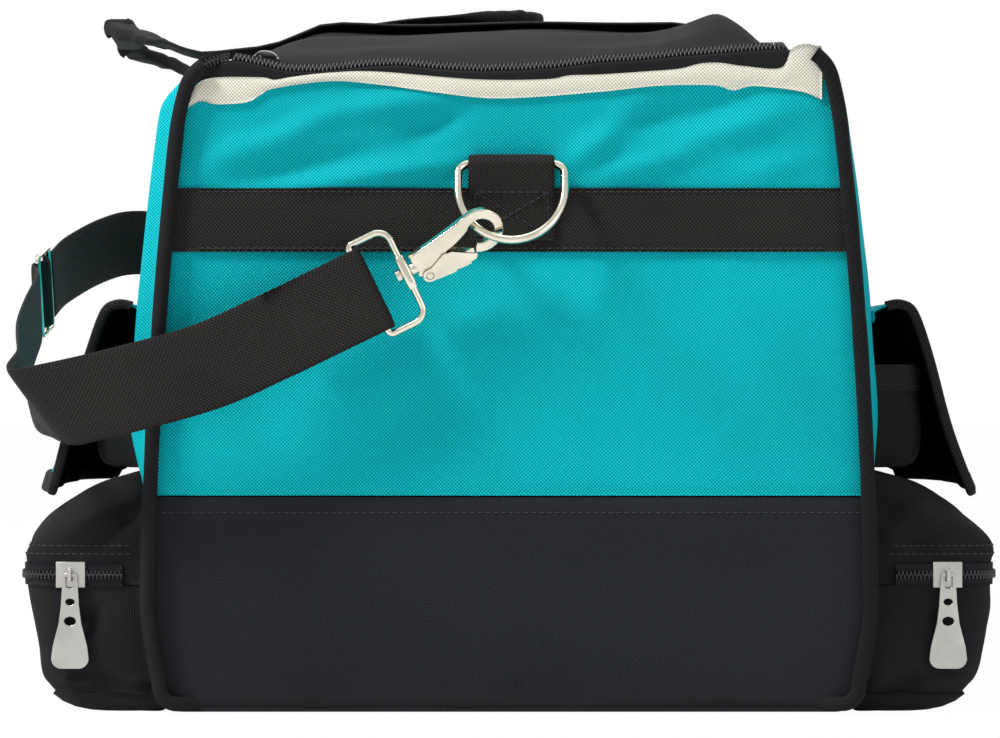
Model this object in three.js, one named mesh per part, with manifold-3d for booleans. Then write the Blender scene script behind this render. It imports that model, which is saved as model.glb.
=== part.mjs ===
// Large zippered tool bag: sewn fabric body, zipped lid, side pockets with flaps,
// webbing carry handles and a shoulder strap on swivel snap hooks.
// Millimetres, +Z up. X runs across the bag, Y along it, the near end faces -Y.
// The origin is the middle of the underside, on the floor.

import * as THREE from "three";
import { mergeVertices } from "three/addons/utils/BufferGeometryUtils.js";
import Module from "manifold-3d";

const wasm = await Module();
wasm.setup();

// Driving dimensions: the sewn body
const BODY_LENGTH = 560;
const BODY_HEIGHT = 286;
const HALF_WIDTH = 156;
const TOP_TAPER = 17;
const TAPER_POWER = 2.2;
const SIDE_BULGE = 7;
const BULGE_POWER = 10;
const BOTTOM_ROUND = 12;
const TOP_ROUND = 12;
const WALL = 4;
const LOWER_BODY_HEIGHT = 95;
const BOARD_THICKNESS = 3;
const GAP = 0.3;

// Driving dimensions: lid and main zip
const ZIP_HALF_WIDTH = 4.4;
const ZIP_HEIGHT = 3;
const ZIP_SPLIT = 0.4;
const ZIP_START = 5;
const LID_THICKNESS = 3;
const LID_RISE = 24;
const LID_RISE_RUN = 60;
const LID_FLANGE = 5.2;
const LID_CORNER = 8;
const LID_RISE_STEPS = [0.063, 0.147, 0.263, 0.413, 0.613, 1];
const LID_RIDGE = 14;
const LID_HINGE_GAP = 0.4;
const RIVET_RADIUS = 5;
const RIVET_HEIGHT = 2.2;
const RIVET_FROM_HINGE = 14.6;
const RIVET_INSET = 13;

// Driving dimensions: end panels
const TRIM_THICKNESS = 1.2;
const TRIM_HEIGHT = 10;
const TRIM_WAVE = 1.6;
const TRIM_WAVE_TURNS = 17;
const TRIM_SLOPE = 6;
const TRIM_TOP_DROP = 2;
const PIPING_RADIUS = 3.3;
const BELT_BOTTOM = 203;
const BELT_WIDTH = 27;
const BELT_THICKNESS = 1.8;

// Driving dimensions: webbing handles
const WEBBING_WIDTH = 38;
const WEBBING_THICKNESS = 2.2;
const LEG_BOTTOM = 179;
const LEG_BEND = 252;
const LEFT_LEG_Y = 110;
const RIGHT_LEG_Y = 150;
const HANDLE_TURN_RADIUS = 26;

// Handle lines, as [distance inward from the rim's edge, height above the rim]
const LEFT_SHOULDER = [[-31, -22], [-33.5, -14], [-30, -6], [-22, -0.5], [-11, 1.6], [-0.5, 1.6]];
const RIGHT_SHOULDER = [[-24, -24], [-24, -16], [-21.5, -8], [-17, -1.5]];
const LEFT_LOOP = [
  [6, 1.6], [9.5, 3.4], [16, 9.8], [23, 16.6], [35, 23.4], [53, 27.2], [79, 28], [105, 28.4],
];
const LEFT_LOOP_TURN = { inward: 111, rise: 28.4, lift: 2 };
const RIGHT_LOOP = [
  [-14, 2], [-7, 7.2], [7, 9], [19, 13], [35, 21.5], [53, 27.4], [87, 29],
  [147, 29.4], [207, 28], [252, 22.4], [277, 21.5],
];
const RIGHT_LOOP_TURN = { inward: 297, rise: 21.5, lift: -2 };

// Driving dimensions: side pockets
const POCKET_WALL = 2;
const UPPER_POCKET_DEPTH = 28;
const UPPER_POCKET_BOTTOM = 107;
const UPPER_POCKET_TOP = 153;
const UPPER_POCKET_END = 254;
const UPPER_POCKET_SPLIT = 10;
const HEM_HEIGHT = 11;
const HEM_THICKNESS = 1;
const FLAP_THICKNESS = 2.4;
const FLAP_OVERHANG = 4;
const FLAP_SEAM = 3.2;
const FLAP_LINE = [[3.7, 174], [11, 178.5], [19, 180.5], [24, 176], [36, 143], [51.5, 98]];
const LOWER_POCKET_END = 268;
const LOWER_POCKET_DEPTH = 54;
const LOWER_POCKET_TOP = 105;
const LOWER_POCKET_BOTTOM = 1.5;
const LOWER_POCKET_ROUND = 14;
const POCKET_ZIP_BOTTOM = 55.4;
const POCKET_ZIP_TOP = 64.6;
const POCKET_ZIP_THICKNESS = 1.5;
const POCKET_ZIP_START = 8;
const FRONT_BOTTOM = 9;

// Driving dimensions: sliders and pull tabs
const SLIDER_LENGTH = 13;
const SLIDER_WIDTH = 11.4;
const SLIDER_PLATE = 1.5;
const SLIDER_FLANGE = 0.8;
const SLIDER_FLANGE_DEPTH = 2;
const BAIL_WIDTH = 1.7;
const BAIL_BAR = 1.2;
const BAIL_START = -4.3;
const BAIL_END = 1.5;
const BAIL_HEIGHT = 4;
const PULL_THICKNESS = 1.8;
const PULL_LENGTH = 40;
const PULL_TOP = -2.2;
const PULL_END_ROUND = 4.5;
const PULL_HALF_WIDTHS = [[5, 3.6], [12, 4], [20, 5], [30, 7.6], [PULL_LENGTH - PULL_END_ROUND, 8.3]];
const PULL_EYE = { from: -0.6, to: 4.5, half: 2 };
const PULL_HOLES = [[10.5, 1.6, 2.2], [19, 2.1, 2.8]];
const MAIN_SLIDER_Y = 14;
const POCKET_SLIDER_DEPTH = 37;

// Driving dimensions: shoulder strap fittings
const DRING_WIRE = 1.9;
const DRING_HALF_WIDTH = 23.4;
const DRING_DEPTH = 38;
const DRING_ARC_DEPTH = 26;
const DRING_CORNER = 5;
const DRING_TILT = THREE.MathUtils.degToRad(27);
const DRING_X = 1;
const DRING_BAR_Z = 241;
const TAB_CLEARANCE = 0.4;
const TAB_WEB = 2;
const HOOK_LIES = {
  near: { angle: THREE.MathUtils.degToRad(26), share: 0.7 },
  far: { angle: THREE.MathUtils.degToRad(-6), share: 0.8 },
};
const HOOK_ROLL = THREE.MathUtils.degToRad(34);
const HOOK_THICKNESS = 3.6;
const HOOK_BEVEL = 0.5;
const SHANK_START = 4;
const SHANK_TOP = 7;
const SHANK_BOTTOM = -4;
const EYE_S = 37;
const EYE_T = 3.2;
const EYE_OUTER = 10.5;
const EYE_HOLE = 5.9;
const GATE_PIVOT_S = 8.8;
const GATE_PIVOT_T = -5.2;
const BOSS_RADIUS = 2.4;
const PIN_RADIUS = 1.1;
const KNOB_RADIUS = 2;
const GATE_ROUND = 3;
const GATE_DEPTH = 3.9;
const GATE_PLATE = 0.8;
const GATE_FLOOR_END = 27.6;
const GATE_TIP_S = 30.4;
const POST_RADIUS = 1.5;
const POST_HEAD_RADIUS = 2.9;
const POST_HEAD = 2;
const COLLAR_LENGTH = 4.4;
const COLLAR_WIDTH = 15.4;
const COLLAR_THICKNESS = 5.4;
const LOOP_WIRE = 1.6;
const LOOP_HALF_LENGTH = 21.4;
const LOOP_DEPTH = 18;
const LOOP_CORNER = 6;
const STRAP_THICKNESS = 2.2;
const STRAP_TAIL = 42;
const STRAP_TAIL_LIFT = 2.6;
const STRAP_WRAP_CLEARANCE = 0.35;
const STRAP_NEAR_STEPS = 26;
const STRAP_FAR_STEPS = 22;
const STRAP_NEAR_ROUTE = [
  [-170, -302, 158], [-206, -296, 148], [-221, -280, 142], [-226, -250, 143],
  [-234, -170, 152], [-243, -80, 160], [-250, 20, 170], [-255, 100, 184],
];
const STRAP_FAR_ROUTE = [
  [-252, 205, 208], [-238, 250, 220], [-222, 280, 226], [-196, 296, 224], [-150, 302, 215],
];
const ADJUSTER_AT = [-258, 150, 194];
const ADJUSTER_AHEAD = [-256, 170, 199];
const ADJUSTER_WIRE = 1.5;
const ADJUSTER_PITCH = 13;
const ADJUSTER_CORNER = 3;

const HALF_LENGTH = BODY_LENGTH / 2;
const SIDES = { left: -1, right: 1 };
const ENDS = { near: 1, far: -1 };

// Colours
const TEAL = 0x14b0bc;
const CHARCOAL = 0x242528;
const WEBBING = 0x1b1a1a;
const OFF_WHITE = 0xd7d4c3;
const NICKEL = 0xd8d3c4;
const SATIN_NICKEL = 0xb8b6b0;
const BOARD = 0x2c2c2e;
const DARK_RIVET = 0x2a2522;

// Solids and meshes

function toSolid(geometry) {
  const bare = geometry.clone();
  bare.deleteAttribute("normal");
  bare.deleteAttribute("uv");
  const merged = mergeVertices(bare, 1e-3);
  return new wasm.Manifold(
    new wasm.Mesh({
      numProp: 3,
      vertProperties: merged.attributes.position.array,
      triVerts: new Uint32Array(merged.index.array),
    }),
  );
}

function toGeometry(solid) {
  const mesh = solid.getMesh();
  const geometry = new THREE.BufferGeometry();
  geometry.setAttribute("position", new THREE.BufferAttribute(mesh.vertProperties, 3));
  geometry.setIndex(new THREE.BufferAttribute(mesh.triVerts, 1));
  geometry.computeVertexNormals();
  return geometry;
}

function cut(geometry, ...tools) {
  let solid = toSolid(geometry);
  for (const tool of tools) solid = solid.subtract(toSolid(tool));
  return toGeometry(solid);
}

function join(geometry, ...others) {
  let solid = toSolid(geometry);
  for (const other of others) solid = solid.add(toSolid(other));
  return toGeometry(solid);
}

function box(low, high) {
  const size = high.map((value, axis) => value - low[axis]);
  const geometry = new THREE.BoxGeometry(...size);
  return geometry.translate(...low.map((value, axis) => value + size[axis] / 2));
}

// A closed solid through rings of points. All rings have the same number of points. It is
// capped at both ends by the triangles of the flat outline, or runs round if closed is true.
// Without an outline a ring's two halves mirror each other, and the caps are strips between them.
function loft(rings, outline, closed = false) {
  const count = rings[0].length;
  const positions = rings.flat().flatMap((point) => [point.x, point.y, point.z]);
  const index = [];
  const spans = closed ? rings.length : rings.length - 1;
  for (let ring = 0; ring < spans; ring += 1) {
    const here = ring * count;
    const next = ((ring + 1) % rings.length) * count;
    for (let k = 0; k < count; k += 1) {
      const k2 = (k + 1) % count;
      index.push(here + k, here + k2, next + k2, here + k, next + k2, next + k);
    }
  }
  if (!closed) {
    const last = (rings.length - 1) * count;
    const strip = Array.from({ length: count / 2 - 1 }, (_, k) => [
      [k, k + 1, count - 2 - k],
      [k, count - 2 - k, count - 1 - k],
    ]).flat();
    const faces = outline ? THREE.ShapeUtils.triangulateShape(outline, []) : strip;
    for (const [a, b, c] of faces) {
      index.push(a, c, b, last + a, last + b, last + c);
    }
  }
  const geometry = new THREE.BufferGeometry();
  geometry.setAttribute("position", new THREE.Float32BufferAttribute(positions, 3));
  geometry.setIndex(index);
  return facingOut(geometry);
}

// Turns a closed surface so that its faces point out, by the sign of its volume.
function facingOut(geometry) {
  const p = geometry.attributes.position;
  const index = geometry.index.array;
  const [a, b, c] = [new THREE.Vector3(), new THREE.Vector3(), new THREE.Vector3()];
  let volume = 0;
  for (let k = 0; k < index.length; k += 3) {
    a.fromBufferAttribute(p, index[k]);
    b.fromBufferAttribute(p, index[k + 1]);
    c.fromBufferAttribute(p, index[k + 2]);
    volume += a.dot(b.cross(c));
  }
  if (volume < 0) {
    for (let k = 0; k < index.length; k += 3) {
      [index[k + 1], index[k + 2]] = [index[k + 2], index[k + 1]];
    }
  }
  return geometry;
}

// A strip of webbing: a rectangle, width along across and thickness square to it,
// carried along a list of { at, across }.
function ribbon(stations, width, thickness) {
  const corners = [[-1, -1], [1, -1], [1, 1], [-1, 1]];
  const rings = stations.map(({ at, across }, k) => {
    const before = stations[Math.max(k - 1, 0)].at;
    const after = stations[Math.min(k + 1, stations.length - 1)].at;
    const along = after.clone().sub(before).normalize();
    const side = across.clone().addScaledVector(along, -across.dot(along)).normalize();
    const normal = side.clone().cross(along);
    return corners.map(([s, n]) =>
      at.clone()
        .addScaledVector(side, (s * width) / 2)
        .addScaledVector(normal, (n * thickness) / 2),
    );
  });
  return loft(rings, corners.map(([s, n]) => new THREE.Vector2(s, n)));
}

// A round wire along points, with frames carried along without twist.
function wire(points, radius, sides, closed) {
  const count = points.length;
  const inside = (k) => Math.min(Math.max(k, 0), count - 1);
  const at = (k) => points[closed ? (k + count) % count : inside(k)];
  let normal = null;
  const rings = points.map((point, k) => {
    const along = at(k + 1).clone().sub(at(k - 1)).normalize();
    if (!normal) {
      normal = new THREE.Vector3(0.31, 0.87, 0.38);
    }
    normal.addScaledVector(along, -normal.dot(along)).normalize();
    const side = along.clone().cross(normal);
    return Array.from({ length: sides }, (_, m) => {
      const angle = (2 * Math.PI * m) / sides;
      return point.clone()
        .addScaledVector(normal, radius * Math.cos(angle))
        .addScaledVector(side, radius * Math.sin(angle));
    });
  });
  const outline = Array.from({ length: sides }, (_, m) => {
    const angle = (2 * Math.PI * m) / sides;
    return new THREE.Vector2(Math.cos(angle), Math.sin(angle));
  });
  return loft(rings, outline, closed);
}

// Moves each edge of a closed outline of [u, v] points outwards by d, corners mitred.
function grown(outline, d) {
  const area = THREE.ShapeUtils.area(outline.map(([u, v]) => new THREE.Vector2(u, v)));
  const sign = Math.sign(area);
  return outline.map(([u, v], k) => {
    const [u0, v0] = outline[(k + outline.length - 1) % outline.length];
    const [u1, v1] = outline[(k + 1) % outline.length];
    const before = new THREE.Vector2(v - v0, u0 - u).normalize();
    const after = new THREE.Vector2(v1 - v, u - u1).normalize();
    const middle = before.clone().add(after).normalize();
    const reach = (sign * d) / Math.max(middle.dot(after), 0.5);
    return [u + middle.x * reach, v + middle.y * reach];
  });
}

// Adds points so that no edge of a closed outline is longer than step.
function subdivided(outline, step) {
  return outline.flatMap(([u, v], k) => {
    const [u1, v1] = outline[(k + 1) % outline.length];
    const parts = Math.max(1, Math.ceil(Math.hypot(u1 - u, v1 - v) / step));
    return Array.from({ length: parts }, (_, m) => [
      u + ((u1 - u) * m) / parts,
      v + ((v1 - v) * m) / parts,
    ]);
  });
}

function material(color, roughness, metalness = 0) {
  return new THREE.MeshStandardMaterial({ color, roughness, metalness });
}

const FINISHES = {
  teal: material(TEAL, 0.75),
  charcoal: material(CHARCOAL, 0.8),
  webbing: material(WEBBING, 0.85),
  trim: material(OFF_WHITE, 0.75),
  nickel: material(NICKEL, 0.2, 1),
  satin: material(SATIN_NICKEL, 0.4, 1),
  board: material(BOARD, 0.7),
  rivet: material(DARK_RIVET, 0.3, 1),
};

const bag = new THREE.Group();

function add(name, geometry, finish, parent = bag) {
  const mesh = new THREE.Mesh(geometry, FINISHES[finish]);
  mesh.name = name;
  parent.add(mesh);
  return mesh;
}

// The side wall

// How far a side wall draws in near the floor and near the zip, a quarter circle each.
function edgeRound(z) {
  const low = Math.max(BOTTOM_ROUND - Math.max(z, 0), 0);
  const high = Math.max(Math.min(z, BODY_HEIGHT) - (BODY_HEIGHT - TOP_ROUND), 0);
  const arc = (radius, height) => radius - Math.sqrt(Math.max(radius ** 2 - height ** 2, 0));
  return arc(BOTTOM_ROUND, low) + arc(TOP_ROUND, high);
}

// Half the body's width at height z and place y: it tapers upwards and bulges between its ends.
function halfWidth(z, y) {
  const share = Math.min(Math.max(z / BODY_HEIGHT, 0), 1);
  const along = Math.min(Math.abs(y) / HALF_LENGTH, 1);
  const bulge = SIDE_BULGE * Math.sin(Math.PI * share) * (1 - along ** BULGE_POWER);
  return HALF_WIDTH - TOP_TAPER * share ** TAPER_POWER + bulge - edgeRound(z);
}

const SHOULDER = halfWidth(BODY_HEIGHT, 0);
const WALL_STEP = 24;

// Heights at which the body's shape is worked out, closer together in its round edges.
function bodyHeights(low, high) {
  const rounds = [0, 0.08, 0.3, 0.6, 1];
  const marks = [
    ...rounds.map((share) => share * BOTTOM_ROUND),
    ...rounds.map((share) => BODY_HEIGHT - share * TOP_ROUND),
  ];
  for (let z = BOTTOM_ROUND + WALL_STEP; z < BODY_HEIGHT - TOP_ROUND; z += WALL_STEP) marks.push(z);
  const inside = marks.filter((z) => z > low + 0.01 && z < high - 0.01);
  return [low, ...inside.sort((a, b) => a - b), high];
}

// Places along Y, closer together towards the ends, where the bulge runs out.
function alongPlaces(half, steps = 12) {
  return Array.from({ length: steps + 1 }, (_, k) => -half * Math.cos((Math.PI * k) / steps));
}

// The body's solid between two heights, drawn in by inset all round.
function bodySolid(inset, low, high) {
  const half = HALF_LENGTH - inset;
  const places = alongPlaces(half);
  const outline = [
    ...places.map((y) => new THREE.Vector2(1, y)),
    ...places.toReversed().map((y) => new THREE.Vector2(-1, y)),
  ];
  const rings = bodyHeights(low, high).map((z) =>
    outline.map(({ x, y }) => new THREE.Vector3(x * (halfWidth(z, y) - inset), y, z)),
  );
  return loft(rings, outline);
}

// Places along a pocket, closer together where its upright corners are rounded.
function pocketPlaces(half) {
  const round = [1, 0.96, 0.8, 0.55, 0.25, 0].map((share) => share * LOWER_POCKET_ROUND);
  const start = half - LOWER_POCKET_ROUND;
  const ends = round.map((d) => start + d);
  const middle = alongPlaces(start, 8).slice(1, -1);
  return [...ends.map((y) => -y), ...middle, ...ends.toReversed()];
}

// A solid that follows the outside of a side wall: outline holds [distance from the wall, height].
// squeeze draws the distances in by a share that depends on the place along the wall.
function alongWall(side, outline, half, middle = 0, squeeze = null) {
  const fine = subdivided(outline, WALL_STEP);
  const places = squeeze ? pocketPlaces(half) : alongPlaces(half, 8);
  const rings = places.map((place) => {
    const y = middle + place;
    const share = squeeze ? squeeze(place) : 1;
    return fine.map(([u, z]) => new THREE.Vector3(side * (halfWidth(z, y) + u * share), y, z));
  });
  return loft(rings, fine.map(([u, z]) => new THREE.Vector2(u, z)));
}

// A sheet of even thickness that follows the wall: line holds [distance from the wall, height].
function sheetAlongWall(side, line, thickness, half, middle = 0) {
  const fine = line.slice(0, -1).flatMap(([u, z], k) => {
    const [u1, z1] = line[k + 1];
    const parts = Math.max(1, Math.ceil(Math.hypot(u1 - u, z1 - z) / WALL_STEP));
    return Array.from({ length: parts }, (_, m) => [
      u + ((u1 - u) * m) / parts,
      z + ((z1 - z) * m) / parts,
    ]);
  });
  fine.push(line.at(-1));
  const skin = (d) => fine.map(([u, z], k) => {
    const [u0, z0] = fine[Math.max(k - 1, 0)];
    const [u1, z1] = fine[Math.min(k + 1, fine.length - 1)];
    const run = Math.hypot(u1 - u0, z1 - z0);
    return [u + ((z0 - z1) * d) / run, z + ((u1 - u0) * d) / run];
  });
  const outline = [...skin(thickness / 2), ...skin(-thickness / 2).toReversed()];
  const rings = alongPlaces(half, 8).map((place) => {
    const y = middle + place;
    return outline.map(([u, z]) => new THREE.Vector3(side * (halfWidth(z, y) + u), y, z));
  });
  return loft(rings, null);
}

// Body of the bag

const EXTRA = 5;
add("base_tub", cut(
  bodySolid(0, 0, LOWER_BODY_HEIGHT),
  bodySolid(WALL, WALL, LOWER_BODY_HEIGHT + EXTRA),
), "charcoal");
add("body_shell", cut(
  bodySolid(0, LOWER_BODY_HEIGHT + GAP, BODY_HEIGHT),
  bodySolid(WALL, LOWER_BODY_HEIGHT - EXTRA, BODY_HEIGHT + EXTRA),
), "teal");
add("base_board", bodySolid(
  WALL + 2 * GAP, WALL + GAP, WALL + GAP + BOARD_THICKNESS,
), "board");

// Lid and main zip

// A U-shaped band on the rim, open on the hinge side, between two distances from the rim's edge.
function zipBand(outer, inner, low, high) {
  const start = -(SHOULDER - ZIP_START);
  const u = (distance, radius) => ({
    x: SHOULDER - distance,
    y: HALF_LENGTH - distance,
    radius,
  });
  const out = u(outer, LID_CORNER + inner - outer);
  const inn = u(inner, LID_CORNER);
  const shape = new THREE.Shape();
  shape.moveTo(start, -out.y);
  shape.absarc(out.x - out.radius, -out.y + out.radius, out.radius, -Math.PI / 2, 0, false);
  shape.absarc(out.x - out.radius, out.y - out.radius, out.radius, 0, Math.PI / 2, false);
  shape.lineTo(start, out.y);
  shape.lineTo(start, inn.y);
  shape.absarc(inn.x - inn.radius, inn.y - inn.radius, inn.radius, Math.PI / 2, 0, true);
  shape.absarc(inn.x - inn.radius, -inn.y + inn.radius, inn.radius, 0, -Math.PI / 2, true);
  shape.lineTo(start, -inn.y);
  const band = new THREE.ExtrudeGeometry(shape, {
    depth: high - low, bevelEnabled: false, curveSegments: 5,
  });
  return band.translate(0, 0, low);
}

const ZIP_BOTTOM = BODY_HEIGHT + GAP;
const ZIP_TOP = ZIP_BOTTOM + ZIP_HEIGHT;
const BODY_ZIP_IN = GAP + ZIP_HALF_WIDTH;
const LID_ZIP_OUT = BODY_ZIP_IN + ZIP_SPLIT;
const LID_ZIP_IN = LID_ZIP_OUT + ZIP_HALF_WIDTH;
const LID_HALF_LENGTH = HALF_LENGTH - LID_ZIP_OUT;
const LID_RIGHT = SHOULDER - LID_ZIP_OUT;
const LID_LEFT = -(SHOULDER - WALL - LID_HINGE_GAP);

// Height of the lid's top above its flange, at distance d from its edge.
function lidRise(d) {
  const share = Math.min(Math.max((d - LID_FLANGE) / LID_RISE_RUN, 0), 1);
  return LID_RISE * (1 - (1 - share) ** 3);
}

function lidSolid() {
  const slope = LID_RISE_STEPS.map((share) => LID_FLANGE + LID_RISE_RUN * share);
  const ridge = (LID_RIGHT - LID_LEFT) / 2 - LID_CORNER - LID_RIDGE;
  const insets = [0, LID_FLANGE, ...slope, ridge];
  const corner = 4;
  const ringAt = (d, drop) => {
    const points = [];
    const spots = [
      [LID_RIGHT - d - LID_CORNER, -LID_HALF_LENGTH + d + LID_CORNER, -90],
      [LID_RIGHT - d - LID_CORNER, LID_HALF_LENGTH - d - LID_CORNER, 0],
      [LID_LEFT + d + LID_CORNER, LID_HALF_LENGTH - d - LID_CORNER, 90],
      [LID_LEFT + d + LID_CORNER, -LID_HALF_LENGTH + d + LID_CORNER, 180],
    ];
    for (const [x, y, start] of spots) {
      for (let k = 0; k <= corner; k += 1) {
        const angle = THREE.MathUtils.degToRad(start + (90 * k) / corner);
        points.push(new THREE.Vector3(
          x + LID_CORNER * Math.cos(angle),
          y + LID_CORNER * Math.sin(angle),
          BODY_HEIGHT + lidRise(d) - drop,
        ));
      }
    }
    return points;
  };
  const under = insets.map((d) => ringAt(d, LID_THICKNESS)).toReversed();
  const over = insets.map((d) => ringAt(d, 0));
  const rings = [...under, ...over];
  return loft(rings, under[0].map(({ x, y }) => new THREE.Vector2(x, y)));
}

const lid = new THREE.Group();
bag.add(lid);
add("lid_panel", lidSolid(), "charcoal", lid);
add("lid_zip", zipBand(LID_ZIP_OUT, LID_ZIP_IN, ZIP_BOTTOM, ZIP_TOP), "charcoal", lid);
add("body_zip", zipBand(GAP, BODY_ZIP_IN, ZIP_BOTTOM, ZIP_TOP), "charcoal");

// Domed rivets on the lid's slope beside the hinge corners.
function rivet() {
  const profile = [new THREE.Vector2(0, 0), new THREE.Vector2(RIVET_RADIUS, 0)];
  const steps = 6;
  for (let k = 1; k <= steps; k += 1) {
    const angle = (Math.PI / 2) * (k / steps);
    const radius = k === steps ? 0 : RIVET_RADIUS * Math.cos(angle);
    profile.push(new THREE.Vector2(radius, RIVET_HEIGHT * (0.3 + 0.7 * Math.sin(angle))));
  }
  return new THREE.LatheGeometry(profile, 20).rotateX(Math.PI / 2);
}

for (const [end, sign] of Object.entries(ENDS)) {
  const slope = Math.atan2(lidRise(RIVET_INSET + 1) - lidRise(RIVET_INSET - 1), 2);
  const seat = add(`lid_rivet_${end}`, rivet(), "rivet", lid);
  seat.position.set(
    LID_LEFT + RIVET_FROM_HINGE,
    -sign * (LID_HALF_LENGTH - RIVET_INSET),
    BODY_HEIGHT + lidRise(RIVET_INSET),
  );
  seat.rotation.x = sign * slope;
  seat.translateZ(2 * GAP);
}

// End panels: trim, piping, belt and the tab that carries the D-ring

const PANEL_Y = -HALF_LENGTH;

function endPair(name, geometry, finish) {
  for (const [end, sign] of Object.entries(ENDS)) {
    add(`${name}_${end}`, geometry, finish).scale.y = sign;
  }
}

// Half the end panel's width between the pipings.
function panelHalf(z) {
  return halfWidth(z, HALF_LENGTH) - 2 * PIPING_RADIUS - 3 * GAP;
}

function trimBand() {
  const steps = 24;
  const top = BODY_HEIGHT - TRIM_TOP_DROP;
  const edge = (x, rise) => {
    const share = (x + HALF_WIDTH) / (2 * HALF_WIDTH);
    return rise + TRIM_WAVE * Math.sin(share * TRIM_WAVE_TURNS) - TRIM_SLOPE * (1 - share);
  };
  const half = panelHalf(top - TRIM_HEIGHT) - 4;
  const xs = Array.from({ length: steps + 1 }, (_, k) => -half + (2 * half * k) / steps);
  const shape = new THREE.Shape([
    ...xs.map((x) => new THREE.Vector2(x, edge(x, top - TRIM_HEIGHT))),
    ...xs.toReversed().map((x) => new THREE.Vector2(x, edge(x, top))),
  ]);
  const band = new THREE.ExtrudeGeometry(shape, { depth: TRIM_THICKNESS, bevelEnabled: false });
  return band.rotateX(Math.PI / 2).translate(0, PANEL_Y - GAP, 0);
}

function pipingPath() {
  const y = PANEL_Y - GAP - PIPING_RADIUS;
  const rim = (z) => halfWidth(z, HALF_LENGTH) - PIPING_RADIUS;
  const low = PIPING_RADIUS + 2 * GAP;
  const heights = bodyHeights(low, BODY_HEIGHT - 0.35 * TOP_ROUND);
  const right = heights.map((z) => new THREE.Vector3(rim(z), y, z));
  const left = heights.map((z) => new THREE.Vector3(-rim(z), y, z));
  return [...left.toReversed(), ...right];
}

const beltHalf = panelHalf(BELT_BOTTOM + BELT_WIDTH);
endPair("trim", trimBand(), "trim");
endPair("piping", wire(pipingPath(), PIPING_RADIUS, 8, false), "charcoal");
endPair("belt", box(
  [-beltHalf, PANEL_Y - GAP - BELT_THICKNESS, BELT_BOTTOM],
  [beltHalf, PANEL_Y - GAP, BELT_BOTTOM + BELT_WIDTH],
), "webbing");

const TAB_OUTER = DRING_WIRE + TAB_CLEARANCE + TAB_WEB;
const BAR_Y = PANEL_Y - GAP - TAB_OUTER;

// The tab's section, a webbing loop round the D-ring's bar that closes on the panel below it.
function tab() {
  const foot = BELT_BOTTOM + BELT_WIDTH + GAP - DRING_BAR_Z;
  const shape = new THREE.Shape();
  shape.moveTo(TAB_OUTER, foot);
  shape.lineTo(TAB_OUTER, 0);
  shape.absarc(0, 0, TAB_OUTER, 0, Math.PI, false);
  shape.lineTo(TAB_OUTER - 2 * TAB_WEB, foot);
  const hole = new THREE.Path();
  hole.absarc(0, 0, DRING_WIRE + TAB_CLEARANCE, 0, 2 * Math.PI, true);
  shape.holes.push(hole);
  const loop = new THREE.ExtrudeGeometry(shape, {
    depth: WEBBING_WIDTH, bevelEnabled: false, curveSegments: 10,
  });
  return loop.rotateX(Math.PI / 2).rotateZ(Math.PI / 2)
    .translate(DRING_X - WEBBING_WIDTH / 2, BAR_Y, DRING_BAR_Z);
}
endPair("dring_tab", tab(), "webbing");

// D-ring: a straight bar, round corners, sides and a half ellipse.
function dring() {
  const points = [];
  const arcTop = -(DRING_DEPTH - DRING_ARC_DEPTH);
  const inner = DRING_HALF_WIDTH - DRING_CORNER;
  points.push([-inner * 0.5, 0], [0, 0], [inner * 0.5, 0]);
  const corner = 4;
  for (let k = 0; k <= corner; k += 1) {
    const angle = (Math.PI / 2) * (1 - k / corner);
    points.push([inner + DRING_CORNER * Math.cos(angle), DRING_CORNER * (Math.sin(angle) - 1)]);
  }
  const steps = 20;
  for (let k = 0; k <= steps; k += 1) {
    const angle = (Math.PI * k) / steps;
    points.push([DRING_HALF_WIDTH * Math.cos(angle), arcTop - DRING_ARC_DEPTH * Math.sin(angle)]);
  }
  for (let k = 0; k <= corner; k += 1) {
    const angle = (Math.PI / 2) * (k / corner);
    points.push([-inner - DRING_CORNER * Math.cos(angle), DRING_CORNER * (Math.sin(angle) - 1)]);
  }
  return wire(points.map(([x, z]) => new THREE.Vector3(x, 0, z)), DRING_WIRE, 8, true)
    .rotateX(-DRING_TILT)
    .translate(DRING_X, BAR_Y, DRING_BAR_Z);
}
endPair("dring", dring(), "nickel");

// Snap hook: s runs along the swivel's axis from the strap loop to the eye, t across it towards
// the hook's arm, n square to both. The collar on the loop is at s = 0.

const RING_ARC_TOP = -(DRING_DEPTH - DRING_ARC_DEPTH);

// The middle of the ring's wire where a hook hangs, at a share of the ring's half turn.
function ringPoint(share) {
  const across = DRING_HALF_WIDTH * Math.cos(share * Math.PI);
  const down = RING_ARC_TOP - DRING_ARC_DEPTH * Math.sin(share * Math.PI);
  return new THREE.Vector3(
    DRING_X + across,
    BAR_Y + down * Math.sin(DRING_TILT),
    DRING_BAR_Z + down * Math.cos(DRING_TILT),
  );
}

// Turns s, t and n into the bag's frame at the near end; only the hook and its gate are rolled.
function hookFrame(end, rolled) {
  const { angle, share } = HOOK_LIES[end];
  const xAxis = new THREE.Vector3(1, 0, 0);
  const eye = new THREE.Vector3(EYE_S, EYE_T, 0).applyAxisAngle(xAxis, HOOK_ROLL);
  const at = ringPoint(share);
  return new THREE.Matrix4().makeTranslation(at.x, at.y, at.z)
    .multiply(new THREE.Matrix4().makeRotationY(-angle))
    .multiply(new THREE.Matrix4().makeRotationX(Math.PI / 2))
    .multiply(new THREE.Matrix4().makeTranslation(-eye.x, -eye.y, -eye.z))
    .multiply(new THREE.Matrix4().makeRotationX(rolled ? HOOK_ROLL : 0));
}

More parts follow.
